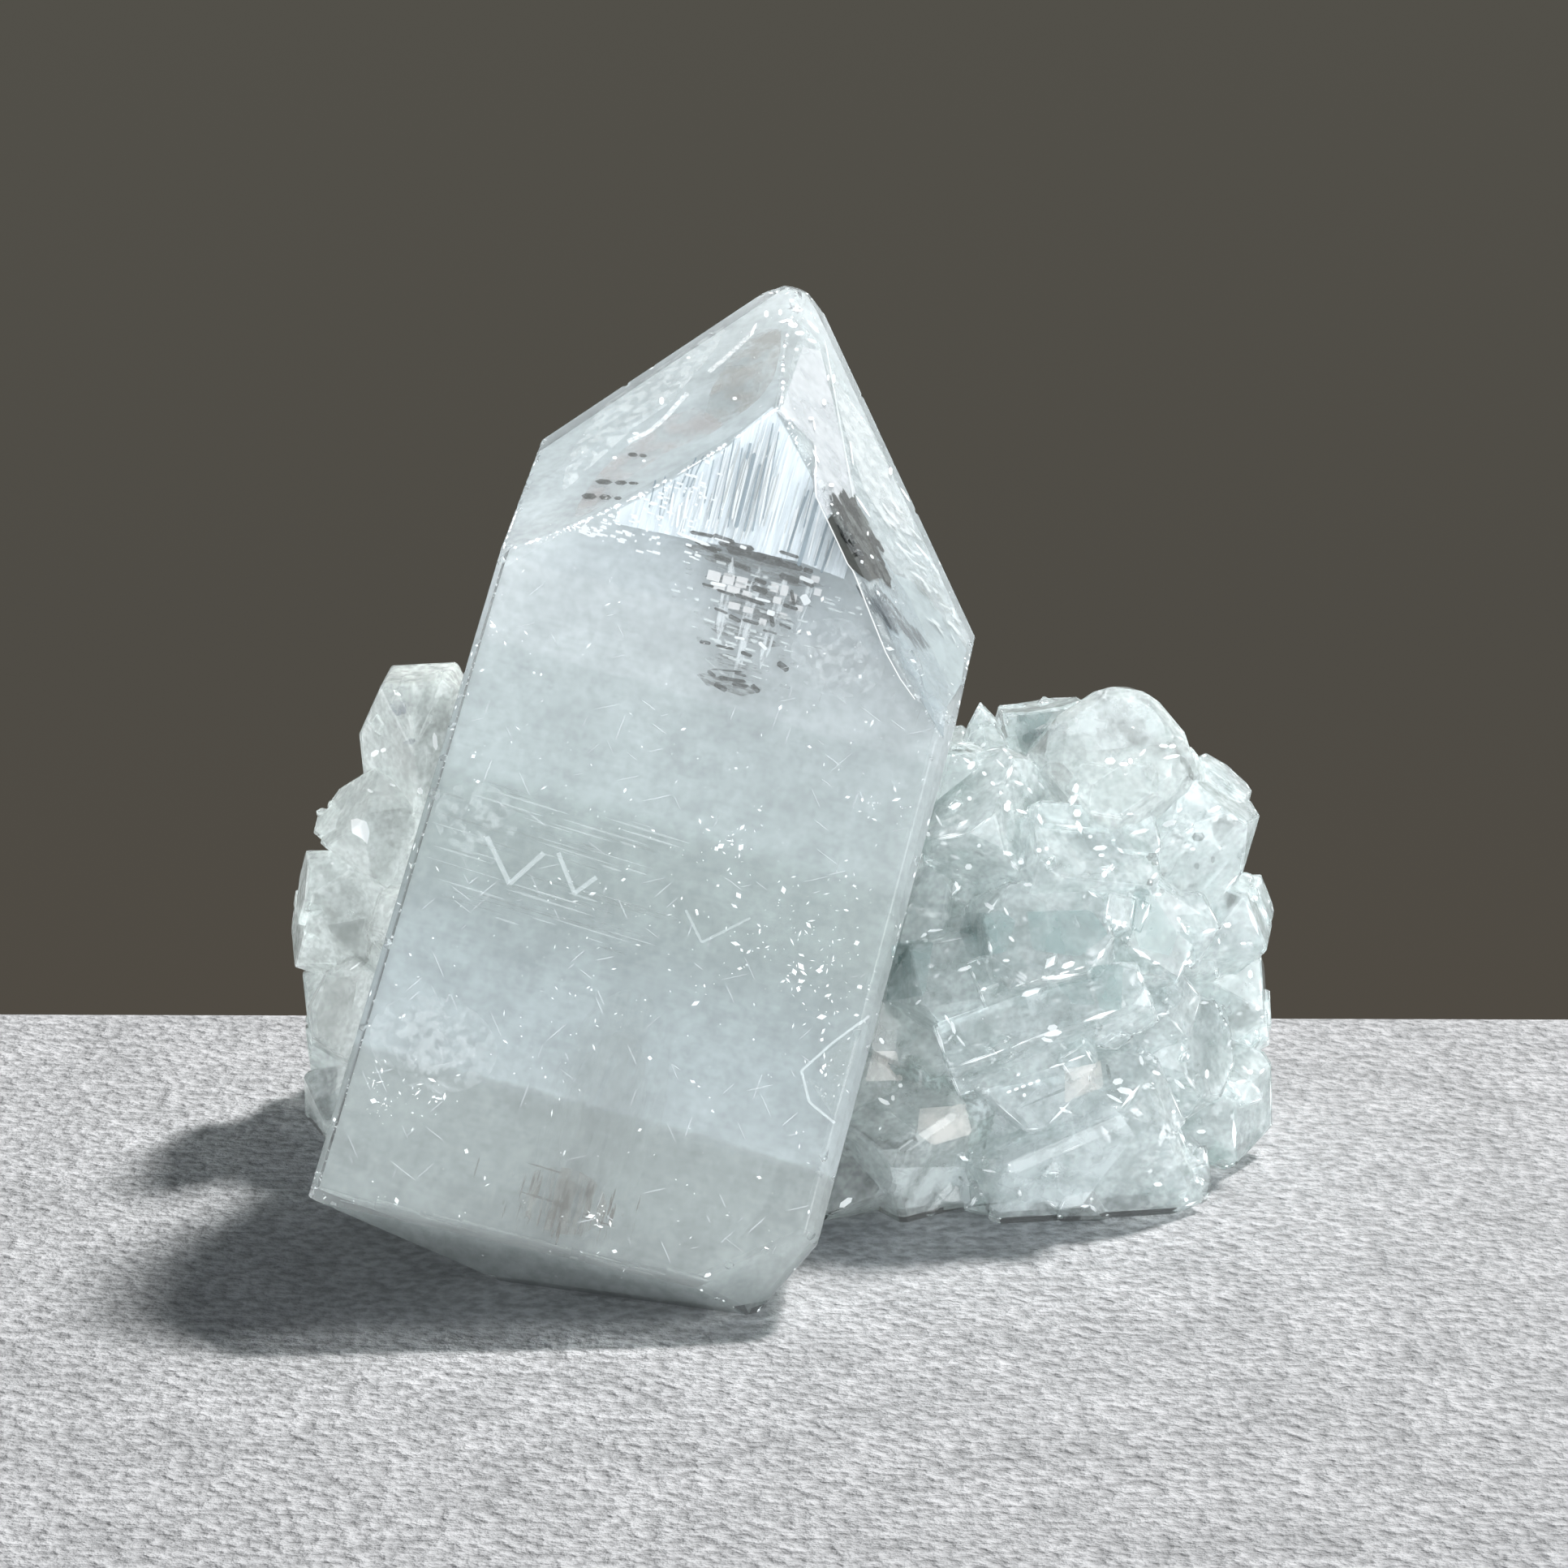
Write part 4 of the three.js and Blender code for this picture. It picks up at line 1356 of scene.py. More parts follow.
# %% Finishes of the marks
dark_gap = mark_material("dark_gap", (0.045, 0.05, 0.045, 1), (0.40, 0.95), (3.0, 3.0, 9.0))
faint_gap = mark_material("faint_gap", (0.25, 0.28, 0.27, 1), 0.16)
# Painted highlight: bright lines with a little glow, for the stripes and tiles of the fan and the glints of
# the column.
painted_bright_line = mark_material("painted_bright_line", (0.97, 0.99, 1.0, 1), 0.80, glow=0.12)
pale_crack = mark_material("pale_crack", (0.90, 0.95, 0.955, 1), 0.38)
warm_shade = mark_material("warm_shade", (0.40, 0.395, 0.375, 1), (0.0, 0.46), evenly(0.9))
# Painted reflection: the fan is bright, with a little glow, where the back faces send light forward.
painted_fan_reflection = mark_material("painted_fan_reflection", (0.86, 0.93, 0.98, 1), (0.40, 0.82), (5.0, 1.0, 0.35), glow=0.17)
dice = np.random.default_rng(41)
print("materials so far:", len(bpy.data.materials))

# %% The striped fan below the point
ARMS_X = [-8.37, -6.92, -3.86, -0.89, 0.59, 3.87, 6.03, 8.91, 11.98]
ARMS_Z = [-20.12, -19.07, -16.1, -12.72, -10.18, -13.81, -16.9, -20.57, -23.73]
FOOT_X, FOOT_Z = [-5.0, -1.9, 3.7, 6.6], [-18.2, -18.0, -17.6, -17.9]
top_x = np.array([5.9, 3.87, 2.2, 0.59, -0.2, -0.89, -2.3, -3.86, -4.9])
top = np.stack([top_x, np.interp(top_x, ARMS_X, ARMS_Z) - 0.35], 1)
low_x = np.array([-5.0, -1.9, 3.7, 5.9])
low = np.stack([low_x, np.interp(low_x, FOOT_X, FOOT_Z)], 1)
# The glowing sheet, bright lines and tiles of the fan are painted reflection and highlight.
slabs("fan_glow", FRONT_FACE, [np.concatenate([low, top])], 0.30, painted_fan_reflection)
x = np.concatenate([dice.uniform(-4.8, 2.0, 130), dice.uniform(2.0, 5.6, 40)])
head = np.interp(x, ARMS_X, ARMS_Z) - dice.uniform(0.3, 3.5, 170)
foot = np.interp(x, FOOT_X, FOOT_Z) + dice.uniform(0.0, 2.5, 170)
long = head - foot > 0.5
x, head, foot = x[long], head[long], foot[long]
lines = dashes(
    x, (head + foot) / 2, (head - foot) / 2, dice.uniform(0.012, 0.045, len(x)), math.pi / 2, 0.9
)
lines = lines[dice.permutation(len(lines))]
third = len(x) // 4
slabs("fan_lines_bright", FRONT_FACE, lines[third:], 0.22, painted_bright_line)
slabs("fan_lines_dark", FRONT_FACE, lines[:third], 0.18, faint_gap)
x, z = dice.uniform(-6.4, -0.8, 110), dice.uniform(0.0, 1.0, 110)
z = np.interp(x, ARMS_X, ARMS_Z) - 0.35 - z * (np.interp(x, ARMS_X, ARMS_Z) + 19.4 + 0.1 * x)
tiles = dashes(x, z, dice.uniform(0.05, 0.20, 110), dice.uniform(0.03, 0.07, 110), -0.02, 0.9)
slabs("fan_tiles", FRONT_FACE, tiles, 0.12, painted_bright_line)
print("fan:", len(lines), "lines,", len(tiles), "tiles")

# %% The column of gaps and bricks under the fan
# ends of each stroke in own x and z, and half its width, mm
COLUMN_GAPS = [
    (-1.51, -17.64, -0.38, -17.55, 0.06), (-0.47, -17.5, 0.64, -17.58, 0.08),
    (-0.12, -17.77, 1.58, -17.63, 0.1), (0.31, -17.93, 2.23, -17.9, 0.12),
    (1.58, -17.92, 3.04, -17.9, 0.14), (2.62, -17.91, 3.98, -17.92, 0.1),
    (-1.23, -17.97, 0.01, -18.26, 0.06), (-0.14, -18.43, 0.73, -18.5, 0.06),
    (0.87, -18.59, 1.69, -18.63, 0.08), (-0.68, -18.14, 0.16, -18.1, 0.05),
    (2.68, -17.39, 3.66, -17.43, 0.05), (-0.32, -19.92, 0.26, -19.92, 0.06),
    (0.39, -20, 1.26, -20.07, 0.06), (1.24, -20, 2.73, -20.09, 0.09), (2.97, -18.5, 3.99, -18.57, 0.1),
    (1.94, -19.01, 2.54, -19.08, 0.12), (1.94, -19.42, 2.69, -19.49, 0.14),
    (3.69, -19.03, 4.03, -19.75, 0.08), (3.52, -19.86, 4.26, -19.89, 0.08),
    (1.25, -21.06, 1.87, -21.2, 0.1), (1.91, -21.07, 2.72, -21.08, 0.08), (3.1, -20.47, 3.37, -21.05, 0.1),
    (0.52, -20.9, 1.2, -20.99, 0.06), (0.29, -22.65, 0.82, -22.61, 0.08),
    (1.05, -22.63, 1.92, -22.57, 0.06), (2.24, -22.6, 2.8, -22.68, 0.09), (1.01, -23.9, 1.45, -24.1, 0.08),
    (1.13, -23.78, 2.6, -23.52, 0.04), (1.52, -24.08, 2.86, -23.93, 0.08),
    (1.46, -24.42, 2.11, -24.59, 0.12), (2.24, -24.19, 2.99, -24.13, 0.08),
    (3.11, -24.01, 3.56, -24.25, 0.12), (2.22, -23.67, 2.79, -23.66, 0.06),
    (3.98, -17.92, 4.45, -17.94, 0.08), (4.13, -18.49, 4.66, -18.62, 0.06),
    (2.93, -21.3, 3.63, -21.3, 0.05), (3.58, -20.82, 4.18, -20.89, 0.06),
    (3.98, -22.62, 4.57, -22.86, 0.14),
]
COLUMN_GLINTS = [
    (-2.11, -17.86, -0.4, -18.05, 0.07), (-0.35, -17.63, 0.42, -17.65, 0.04),
    (0.89, -17.67, 1.21, -17.7, 0.08), (2.89, -20.41, 3.28, -20.42, 0.12),
    (1.77, -22.01, 2.27, -21.98, 0.06), (4.26, -19.15, 4.63, -19.53, 0.18),
    (0.03, -19.78, 0.78, -19.72, 0.08), (2.19, -19.92, 2.95, -19.9, 0.06), (3.9, -18.35, 4.61, -18.43, 0.1),
    (2.91, -21.92, 3.36, -22.19, 0.08), (1.2, -12.93, 1.5, -16.58, 0.04),
    (0.22, -13.64, 0.35, -16.92, 0.04), (2.99, -14.9, 2.99, -17.38, 0.04),
    (3.97, -14.61, 4.06, -17.48, 0.036), (5.02, -15.96, 4.98, -17.62, 0.04),
    (-1.35, -15.35, -1.23, -16.98, 0.05), (-0.53, -14.07, -0.52, -15.11, 0.05),
    (-2.07, -15.57, -1.94, -17.19, 0.05), (-2.73, -15.97, -2.55, -17.37, 0.06),
    (0.09, -14.93, 0.21, -16.55, 0.05), (-2.29, -16.46, -2.13, -17.66, 0.06),
]
FAN_BLUE = [
    (0.37, -13.05, 0.49, -16.88, 0.1), (0.96, -13.09, 1.26, -16.86, 0.05),
    (0.76, -13.48, 0.9, -16.97, 0.05), (3.25, -14.08, 3.06, -17.36, 0.04),
    (3.15, -14.44, 3.06, -16.95, 0.036), (3.74, -14.35, 3.73, -17.87, 0.1),
    (3.44, -13.94, 3.48, -16, 0.032), (4.49, -15.29, 4.45, -17.65, 0.06),
    (4.97, -15.77, 4.82, -17.88, 0.06), (-2.17, -14.02, -2.23, -16.11, 0.04),
    (-1.83, -13.83, -2.07, -15.57, 0.04), (-2.33, -14.6, -2.5, -15.7, 0.04),
    (-0.71, -12.66, -0.4, -16.73, 0.032), (-1.35, -13.9, -1.22, -16.14, 0.032),
    (-1.01, -13.26, -0.83, -16.86, 0.032), (-0.24, -12.94, 0.13, -16.99, 0.036),
    (0.07, -12.64, 0.09, -13.47, 0.06), (0.82, -11.37, 0.94, -13.01, 0.036),
    (1.18, -11.69, 1.58, -16.15, 0.028), (-3.68, -15.63, -3.6, -17.06, 0.04),
    (-3.3, -15.31, -3.02, -17.51, 0.032), (-2.82, -15.37, -2.76, -16.6, 0.032),
]
COLUMN_BRICKS = [
    (-0.19, -19.39, 0.42, -19.38, 0.24), (0.53, -19.35, 1.07, -19.34, 0.26),
    (1.14, -19.34, 1.68, -19.32, 0.26), (0.2, -19.86, 0.74, -19.85, 0.14),
    (0.84, -19.79, 1.45, -19.77, 0.16), (1.58, -19.83, 2.04, -19.82, 0.16),
    (2.75, -19.13, 3.13, -19.12, 0.24), (3.24, -19.16, 3.58, -19.15, 0.26),
    (3.74, -19.38, 4.05, -19.38, 0.2), (3.02, -19.71, 3.4, -19.7, 0.16), (4.44, -18.22, 4.83, -18.21, 0.16),
    (4.73, -18.8, 5.07, -18.79, 0.18), (1.11, -20.54, 1.65, -20.52, 0.16),
    (1.81, -20.55, 2.27, -20.53, 0.14), (2.66, -20.92, 3.01, -20.92, 0.16),
    (3.46, -20.36, 3.84, -20.35, 0.14), (4.1, -19.81, 4.45, -19.8, 0.14),
]


def strokes(rows, blunt=0.8, weight=1.0):
    """Outlines of blunt strokes between two ends. The weight multiplies their widths."""
    x0, z0, x1, z1, half = np.array(rows).T
    half = half * weight
    long = np.hypot(x1 - x0, z1 - z0) / 2
    return dashes((x0 + x1) / 2, (z0 + z1) / 2, long, half, np.arctan2(z1 - z0, x1 - x0), blunt)


LENS_FOOT = -18.8
blue_gap = mark_material("blue_gap", (0.26, 0.34, 0.39, 1), 0.55)
# Painted light: the pale bricks glow a little.
brick_pale = mark_material("brick_pale", (0.93, 0.92, 0.92, 1), 0.62, glow=0.05)
lens_weight = np.where(np.array(COLUMN_GAPS)[:, 1] > LENS_FOOT, 1.5, 1.0)
slabs("column_gaps", FRONT_FACE, strokes(COLUMN_GAPS, weight=lens_weight), 0.20, dark_gap)
slabs("column_bricks", FRONT_FACE, strokes(COLUMN_BRICKS, 0.97), 0.28, brick_pale)
# Painted highlights: the glints of the column.
slabs("column_glints", FRONT_FACE, strokes(COLUMN_GLINTS), 0.15, painted_bright_line)
slabs("fan_blue", FRONT_FACE, strokes(FAN_BLUE, 0.95), 0.13, blue_gap)
COLUMN_ROWS = [
    (-1.6, -18.3, 5.2, -18.4, 0.42), (-0.3, -19.5, 5.0, -19.6, 0.40), (0.5, -20.5, 4.4, -20.6, 0.30),
    (0.3, -21.7, 3.9, -21.8, 0.32), (1.0, -23.1, 3.2, -23.1, 0.26), (0.6, -24.2, 3.4, -24.3, 0.34),
]
COLUMN_POSTS = [
    (0.7, -18.2, 1.1, -22.4, 0.22), (2.0, -18.2, 2.3, -24.4, 0.26), (3.3, -18.2, 3.3, -23.2, 0.22),
    (4.5, -18.2, 4.3, -21.2, 0.20),
]
row_shade = mark_material("rows", (0.16, 0.17, 0.16, 1), (0.0, 0.48), (1.5, 0.3, 7.0))
# Painted light: the posts glow a little.
post_glow = mark_material("posts", (0.86, 0.90, 0.92, 1), (0.0, 0.40), (6.0, 0.3, 0.6), glow=0.1)
slabs("column_rows", FRONT_FACE, strokes(COLUMN_ROWS, 0.6), 0.34, row_shade)
slabs("column_posts", FRONT_FACE, strokes(COLUMN_POSTS, 0.6), 0.30, post_glow)
share = dice.uniform(0, 1, 130)
x = 2.4 + dice.normal(0, 1, 130) * (2.6 - 1.8 * share)
bits = dashes(
    x,
    -18.6 - 5.4 * share - 0.03 * x,
    dice.uniform(0.06, 0.30, 130),
    dice.uniform(0.02, 0.07, 130),
    -0.02,
    0.9,
)
slabs("column_bits_dark", FRONT_FACE, bits[:60], 0.24, faint_gap)
slabs("column_bits_pale", FRONT_FACE, bits[60:], 0.26, pale_crack)
print("column:", len(COLUMN_GAPS) + len(COLUMN_GLINTS) + len(FAN_BLUE) + len(COLUMN_BRICKS), "strokes")

# %% Marks inside the faces of the point
POINT_GLINTS = [
    (-0.49, 41.71, -0.49, 41.3, 0.16), (0.17, 41.73, 0.17, 41.36, 0.12), (0.75, 41.67, 1.3, 41.72, 0.16),
    (0.09, 41.01, 0.91, 41.0, 0.12), (0.62, 40.79, 1.04, 40.85, 0.2), (0.9, 40.4, 1.37, 40.48, 0.16),
    (1.49, 41.19, 2.08, 40.6, 0.12), (1.49, 40.2, 1.95, 40.06, 0.12), (-0.95, 41.04, -1.26, 40.29, 0.09),
    (0.6, 42.2, 0.83, 42.18, 0.1), (0.88, 39.54, 1.08, 39.57, 0.1), (2.49, 38.48, 2.48, 38.14, 0.08),
    (2.76, 38.56, 2.76, 38.05, 0.1), (2.28, 37.18, 2.28, 36.84, 0.14), (1.52, 36.07, 1.79, 36.11, 0.12),
    (1.77, 36.02, 1.84, 35.5, 0.06), (1.72, 34.54, 2.02, 33.88, 0.08), (2.45, 32.84, 2.72, 32.87, 0.14),
    (5.46, 34.09, 5.45, 33.67, 0.12), (3.5, 35.18, 3.64, 33.96, 0.04), (3.73, 32.46, 4.41, 31.44, 0.06),
    (4.28, 30.74, 4.28, 30.52, 0.06), (4.38, 29.6, 4.53, 29.41, 0.08),
    (-2.07, 37.06, -1.84, 37.05, 0.12), (-4.3, 39.34, -4.1, 39.33, 0.1), (-5.42, 37.29, -5.4, 36.85, 0.16),
    (-7.66, 34.25, -7.43, 34.24, 0.1), (-6.26, 34.05, -6.07, 34.04, 0.08),
    (-8.05, 32.26, -7.78, 32.25, 0.14), (-6.75, 35.45, -6.44, 35.44, 0.08), (5.92, 33.1, 6.38, 32.41, 0.06),
    (6.56, 30.38, 7.26, 29.55, 0.05),
]
POINT_GAPS = [
    (-6.94, 34.4, -6.45, 34.35, 0.1), (-6.4, 34.33, -6.02, 34.29, 0.08), (-8.42, 33.09, -7.6, 33.0, 0.12),
    (-7.5, 33.0, -6.9, 32.95, 0.1), (-6.85, 32.95, -6.35, 32.9, 0.07), (-9.03, 32.37, -8.3, 32.3, 0.14),
    (-8.2, 32.3, -7.6, 32.22, 0.12), (-7.5, 32.2, -7.11, 32.18, 0.08),
]
SHADE_HIGH = [
    (-1.03, 40.73), (0.21, 40.64), (0.17, 39.39), (-0.13, 38.13), (-0.7, 37.16), (-1.56, 36.37),
    (-2.7, 35.76), (-3.58, 36.22), (-2.92, 38.01), (-1.98, 39.54),
]
SHADE_LOW = [
    (-3.74, 36.72), (-2.39, 35.79), (-3.89, 34.74), (-5.13, 33.96), (-6.35, 33.06), (-7.53, 32.2),
    (-8.82, 31.38), (-9.37, 31.07), (-9.13, 32.04), (-8.28, 33.45), (-7.07, 34.77), (-5.94, 35.51),
    (-5.12, 36.23),
]
SHADE_DARK = [
    (-2.43, 38.77), (-1.59, 38.84), (-0.81, 37.83), (-1.0, 37.01), (-1.94, 36.23), (-2.89, 35.94),
    (-3.36, 36.37), (-3.1, 37.52),
]
OUTER_FROST = [
    (-9.75, 34.43), (-8.34, 36.94), (-6.06, 38.57), (-3.75, 40.2), (-2.21, 41.23), (-2.96, 39.7),
    (-4.83, 37.17), (-7.09, 35.38), (-8.94, 33.59), (-10.03, 32.39),
]
CRACK = [
    (-1.14, 40.56), (-1.79, 39.84), (-2.56, 39.09), (-3.2, 38.51), (-4.18, 37.43), (-4.71, 36.83),
    (-5.19, 36.23), (-5.94, 35.55), (-6.96, 35.05),
]
# The three shades are painted shade: dark tints where the clear left point face shows its dark
# surroundings.
patch("shade_high", [SHADE_HIGH], 0.22, warm_shade)
low_shade = mark_material("low_shade", (0.50, 0.47, 0.465, 1), (0.06, 0.40), evenly(0.9))
patch("shade_low", [SHADE_LOW], 0.16, low_shade)
grey_shade = mark_material("grey_shade", (0.40, 0.44, 0.44, 1), (0.05, 0.35), evenly(0.8))
patch("shade_dark", [SHADE_DARK], 0.30, grey_shade)
frost_tint = mark_material("outer_frost", (0.90, 0.94, 0.95, 1), (0.0, 0.22), evenly(2.2))
patch("outer_frost", [OUTER_FROST], 0.20, frost_tint)
under_skin_slabs("point_gaps", strokes(POINT_GAPS, 0.5), 0.08, dark_gap)
white_crack = mark_material("crack_white", (0.97, 0.99, 1.0, 1), (0.25, 0.80), evenly(3.0))
under_skin_slabs("point_crack", ribbon(CRACK, 0.22), 0.12, white_crack)
# Painted highlights: bright spots of the point with a glow of their own.
painted_highlight_spot = mark_material("painted_highlight_spot", (1.0, 1.0, 1.0, 1), 0.85, roughness=0.3, glow=0.3)
under_skin_slabs("point_glints", strokes(POINT_GLINTS, 0.55, 0.65), 0.08, painted_highlight_spot)
# The dark window of the right point face, its streaks and the grey streaks below it are painted shade: dark
# slabs where the clear point shows its dark surroundings.
share = dice.uniform(0, 1, 90)
off = dice.uniform(-1, 1, 90) * np.interp(share, [0.0, 0.25, 0.6, 1.0], [0.40, 0.95, 0.80, 0.15])
streaks = dashes(
    4.75 + 3.0 * share + off * 0.72,
    -13.9 - 3.2 * share + off * 0.69,
    dice.uniform(0.3, 0.9, 90) * (1.1 - 0.5 * share),
    dice.uniform(0.05, 0.16, 90),
    -0.82 + dice.normal(0, 0.06, 90),
    0.7,
)
WINDOW = [
    (5.22, -12.98), (4.78, -14.29), (4.45, -15.48), (5.07, -16.46), (5.91, -17.46), (7.05, -17.63),
    (7.5, -17.0), (6.75, -15.6), (5.8, -14.1),
]
window_shade = mark_material("window_shade", (0.05, 0.055, 0.05, 1), (0.72, 0.97), evenly(1.6))
window_gap = mark_material("window_gap", (0.02, 0.025, 0.025, 1), (0.6, 0.95), evenly(3.0))
slabs("window", RIGHT_POINT, [WINDOW], 0.26, window_shade)
slabs("dark_window", RIGHT_POINT, streaks[:70], 0.20, window_gap)
slabs("window_glints", RIGHT_POINT, streaks[70:], 0.14, faint_gap)
share, off = dice.uniform(0, 1, 60), dice.uniform(-0.5, 0.5, 60)
streaks = dashes(
    6.9 + 2.9 * share + off * 0.8, -18.2 - 1.4 * share + off * 0.9, dice.uniform(0.2, 0.7, 60),
    dice.uniform(0.02, 0.06, 60), -0.75 + dice.normal(0, 0.1, 60), 0.7,
)
lower_shade = mark_material("lower_shade", (0.20, 0.23, 0.25, 1), 0.35)
slabs("lower_window", RIGHT_POINT, streaks, 0.22, lower_shade)
SHOULDER = [(6.9, -15.4), (9.0, -17.2), (11.7, -21.0), (12.2, -24.2), (9.6, -21.6), (7.6, -18.4)]
ARM_LINE = [
    (2.91, -11.56), (3.66, -14.68), (4.74, -16.06), (5.88, -17.55), (6.22, -17.76), (7.6, -19.9),
    (8.61, -21.42), (9.57, -22.45), (10.45, -23.09),
]
LILAC = [
    (1.0, -5.6), (0.93, -10.89), (2.77, -11.51), (3.45, -14.27), (4.38, -15.31), (5.27, -12.8),
    (4.37, -10.81), (1.84, -5.0),
]
RIGHT_GREY = [
    (7.93, -16.3), (8.57, -18.11), (9.72, -19.7), (10.81, -22.0), (11.9, -22.4), (12.3, -20.4),
    (12.2, -17.9), (10.91, -17.0), (9.22, -15.9),
]
RIGHT_FACE_SHADE = [
    (0.6, -4.2), (0.8, -10.3), (3.9, -14.4), (6.0, -17.4), (8.9, -21.2), (11.6, -23.8), (12.2, -20.6),
    (12.1, -17.6), (8.8, -12.8), (5.0, -7.8), (1.8, -4.4),
]
RIGHT_PALE = [
    (2.2, -5.6), (4.6, -10.4), (5.6, -12.2), (7.0, -13.4), (8.6, -13.0), (8.0, -11.6), (5.0, -7.8)
]
# The shoulder shade, the grey patch and the wide grey layer over the outer band are painted shade that
# darkens the lower and outer parts of the right point face.
for name, outlines, depth, finish, colour, alpha, grain in (
    ("shoulder_shade", [SHOULDER], 0.28, "shoulder_shade", (0.42, 0.49, 0.52, 1), (0.20, 0.62), 0.9),
    ("arm_line", ribbon(ARM_LINE, 0.08), 0.12, "arm_gap", (0.97, 0.99, 1.0, 1), 0.62, None),
    ("lilac_band", [LILAC], 0.25, "lilac", (0.74, 0.76, 0.79, 1), (0.25, 0.60), 0.7),
    ("right_grey", [RIGHT_GREY], 0.30, "right_grey", (0.46, 0.53, 0.55, 1), (0.45, 0.80), 0.8),
    ("right_face_shade", [RIGHT_FACE_SHADE], 0.36, "right_face_shade", (0.66, 0.72, 0.73, 1), (0.02, 0.32), 1.6),
    ("right_pale", [RIGHT_PALE], 0.30, "right_pale", (0.80, 0.84, 0.85, 1), (0.15, 0.58), 1.2),
):
    slabs(name, RIGHT_POINT, outlines, depth, mark_material(finish, colour, alpha, evenly(grain)))
share, off = dice.uniform(0, 1, 70), dice.uniform(-1, 1, 70)
waves = dashes(
    7.0 + 4.6 * share + off * 0.5,
    -11.6 - 6.2 * share + off * 0.9,
    dice.uniform(0.15, 0.5, 70),
    dice.uniform(0.03, 0.09, 70),
    -0.4 + dice.normal(0, 0.3, 70),
    0.5,
)
slabs("etch_waves_dark", RIGHT_POINT, waves[:35], 0.15, faint_gap)
slabs("etch_waves_pale", RIGHT_POINT, waves[35:], 0.13, pale_crack)
slabs("tip_line", RIGHT_POINT, ribbon([[1.93, -3.97], [3.6, -8.6], [5.26, -13.19]], 0.08), 0.12, pale_crack)
print("inner pieces so far:", len(inner_pieces))

# %% Cracks, striped zone and foot
zigzag_crack = mark_material("zigzag_crack", (0.86, 0.92, 0.92, 1), 0.22)
faint_crack = mark_material("faint_crack", (0.86, 0.92, 0.92, 1), 0.16)
for name, path, width, depth, finish in (
    ("zigzag", [(-6.51, -34.31), (-4.94, -36.15), (-3.85, -34.34)], 0.22, 0.18, zigzag_crack),
    ("zigzag_right", [(-3.22, -34.15), (-2.02, -35.78), (-1.27, -34.78)], 0.20, 0.18, zigzag_crack),
    ("faint_zigzag", [(2.99, -35.13), (4.08, -36.39), (5.9, -34.68)], 0.12, 0.22, faint_crack),
):
    slabs(name, FRONT_FACE, ribbon(path, width), depth, finish)
count = 70
zone = dashes(
    dice.uniform(-8.6, 1.5, count),
    dice.uniform(-38.0, -31.7, count),
    dice.uniform(0.4, 2.2, count),
    dice.uniform(0.015, 0.05, count),
    -0.03,
)
inside = (zone[..., 0].min(1) > -9.3) & (zone[..., 0].max(1) < 12)
slabs("striped_zone", FRONT_FACE, zone[inside][::2], 0.25, faint_gap)
faint_line = mark_material("faint_line", (0.9, 0.95, 0.95, 1), 0.12)
slabs("striped_pale", FRONT_FACE, zone[inside][1::2], 0.22, faint_line)
SIDE_WINDOW = [(12.06, -37.9), (9.99, -40.94), (11.84, -42.57)]
SIDE_CRACK = [(12.2, -37.6), (10.9, -39.3), (9.9, -40.9), (10.6, -42.2), (11.9, -42.8)]
side_shade = mark_material("side_shade", (0.40, 0.45, 0.44, 1), (0.0, 0.35), evenly(0.6))
slabs("side_window", FRONT_FACE, [SIDE_WINDOW], 0.25, side_shade)
slabs("side_cracks", FRONT_FACE, ribbon(SIDE_CRACK, 0.12), 0.2, pale_crack)
foot_lines = dashes(
    dice.normal(1.4, 1.5, 60),
    dice.uniform(-51.2, -48.6, 60),
    dice.uniform(0.12, 0.7, 60),
    dice.uniform(0.015, 0.05, 60),
    math.pi / 2,
)
# middle in own x and z, half length and half width of the level lines in the foot, mm
FOOT_ROWS = [
    (0.6, -49.65, 1.3, 0.05), (1.6, -49.8, 0.9, 0.05), (3.0, -50.0, 0.8, 0.04), (0.2, -48.3, 1.0, 0.03)
]
foot_rows = dashes(*np.array(FOOT_ROWS).T, -0.02)
foot_gap = mark_material("foot_gap", (0.16, 0.15, 0.13, 1), (0.0, 0.5), (2.0, 2.0, 0.5))
slabs("foot_lines", FRONT_FACE, np.concatenate([foot_lines, foot_rows]), 0.25, foot_gap)
x, z = dice.uniform(-8.6, 11.5, 170), dice.uniform(-50.5, -22.0, 170)
hairs = dashes(
    x,
    z,
    dice.uniform(0.15, 0.7, 170),
    dice.uniform(0.008, 0.02, 170),
    dice.choice([-0.9, -0.4, 0.5, 1.0, 1.5], 170),
    0.7,
)
slabs("hairline_cracks", FRONT_FACE, hairs, 0.15, mark_material("hairline", (0.95, 0.98, 1.0, 1), 0.35))
CLOUD_CORNERS, CLOUD_STEP = 24, 0.05
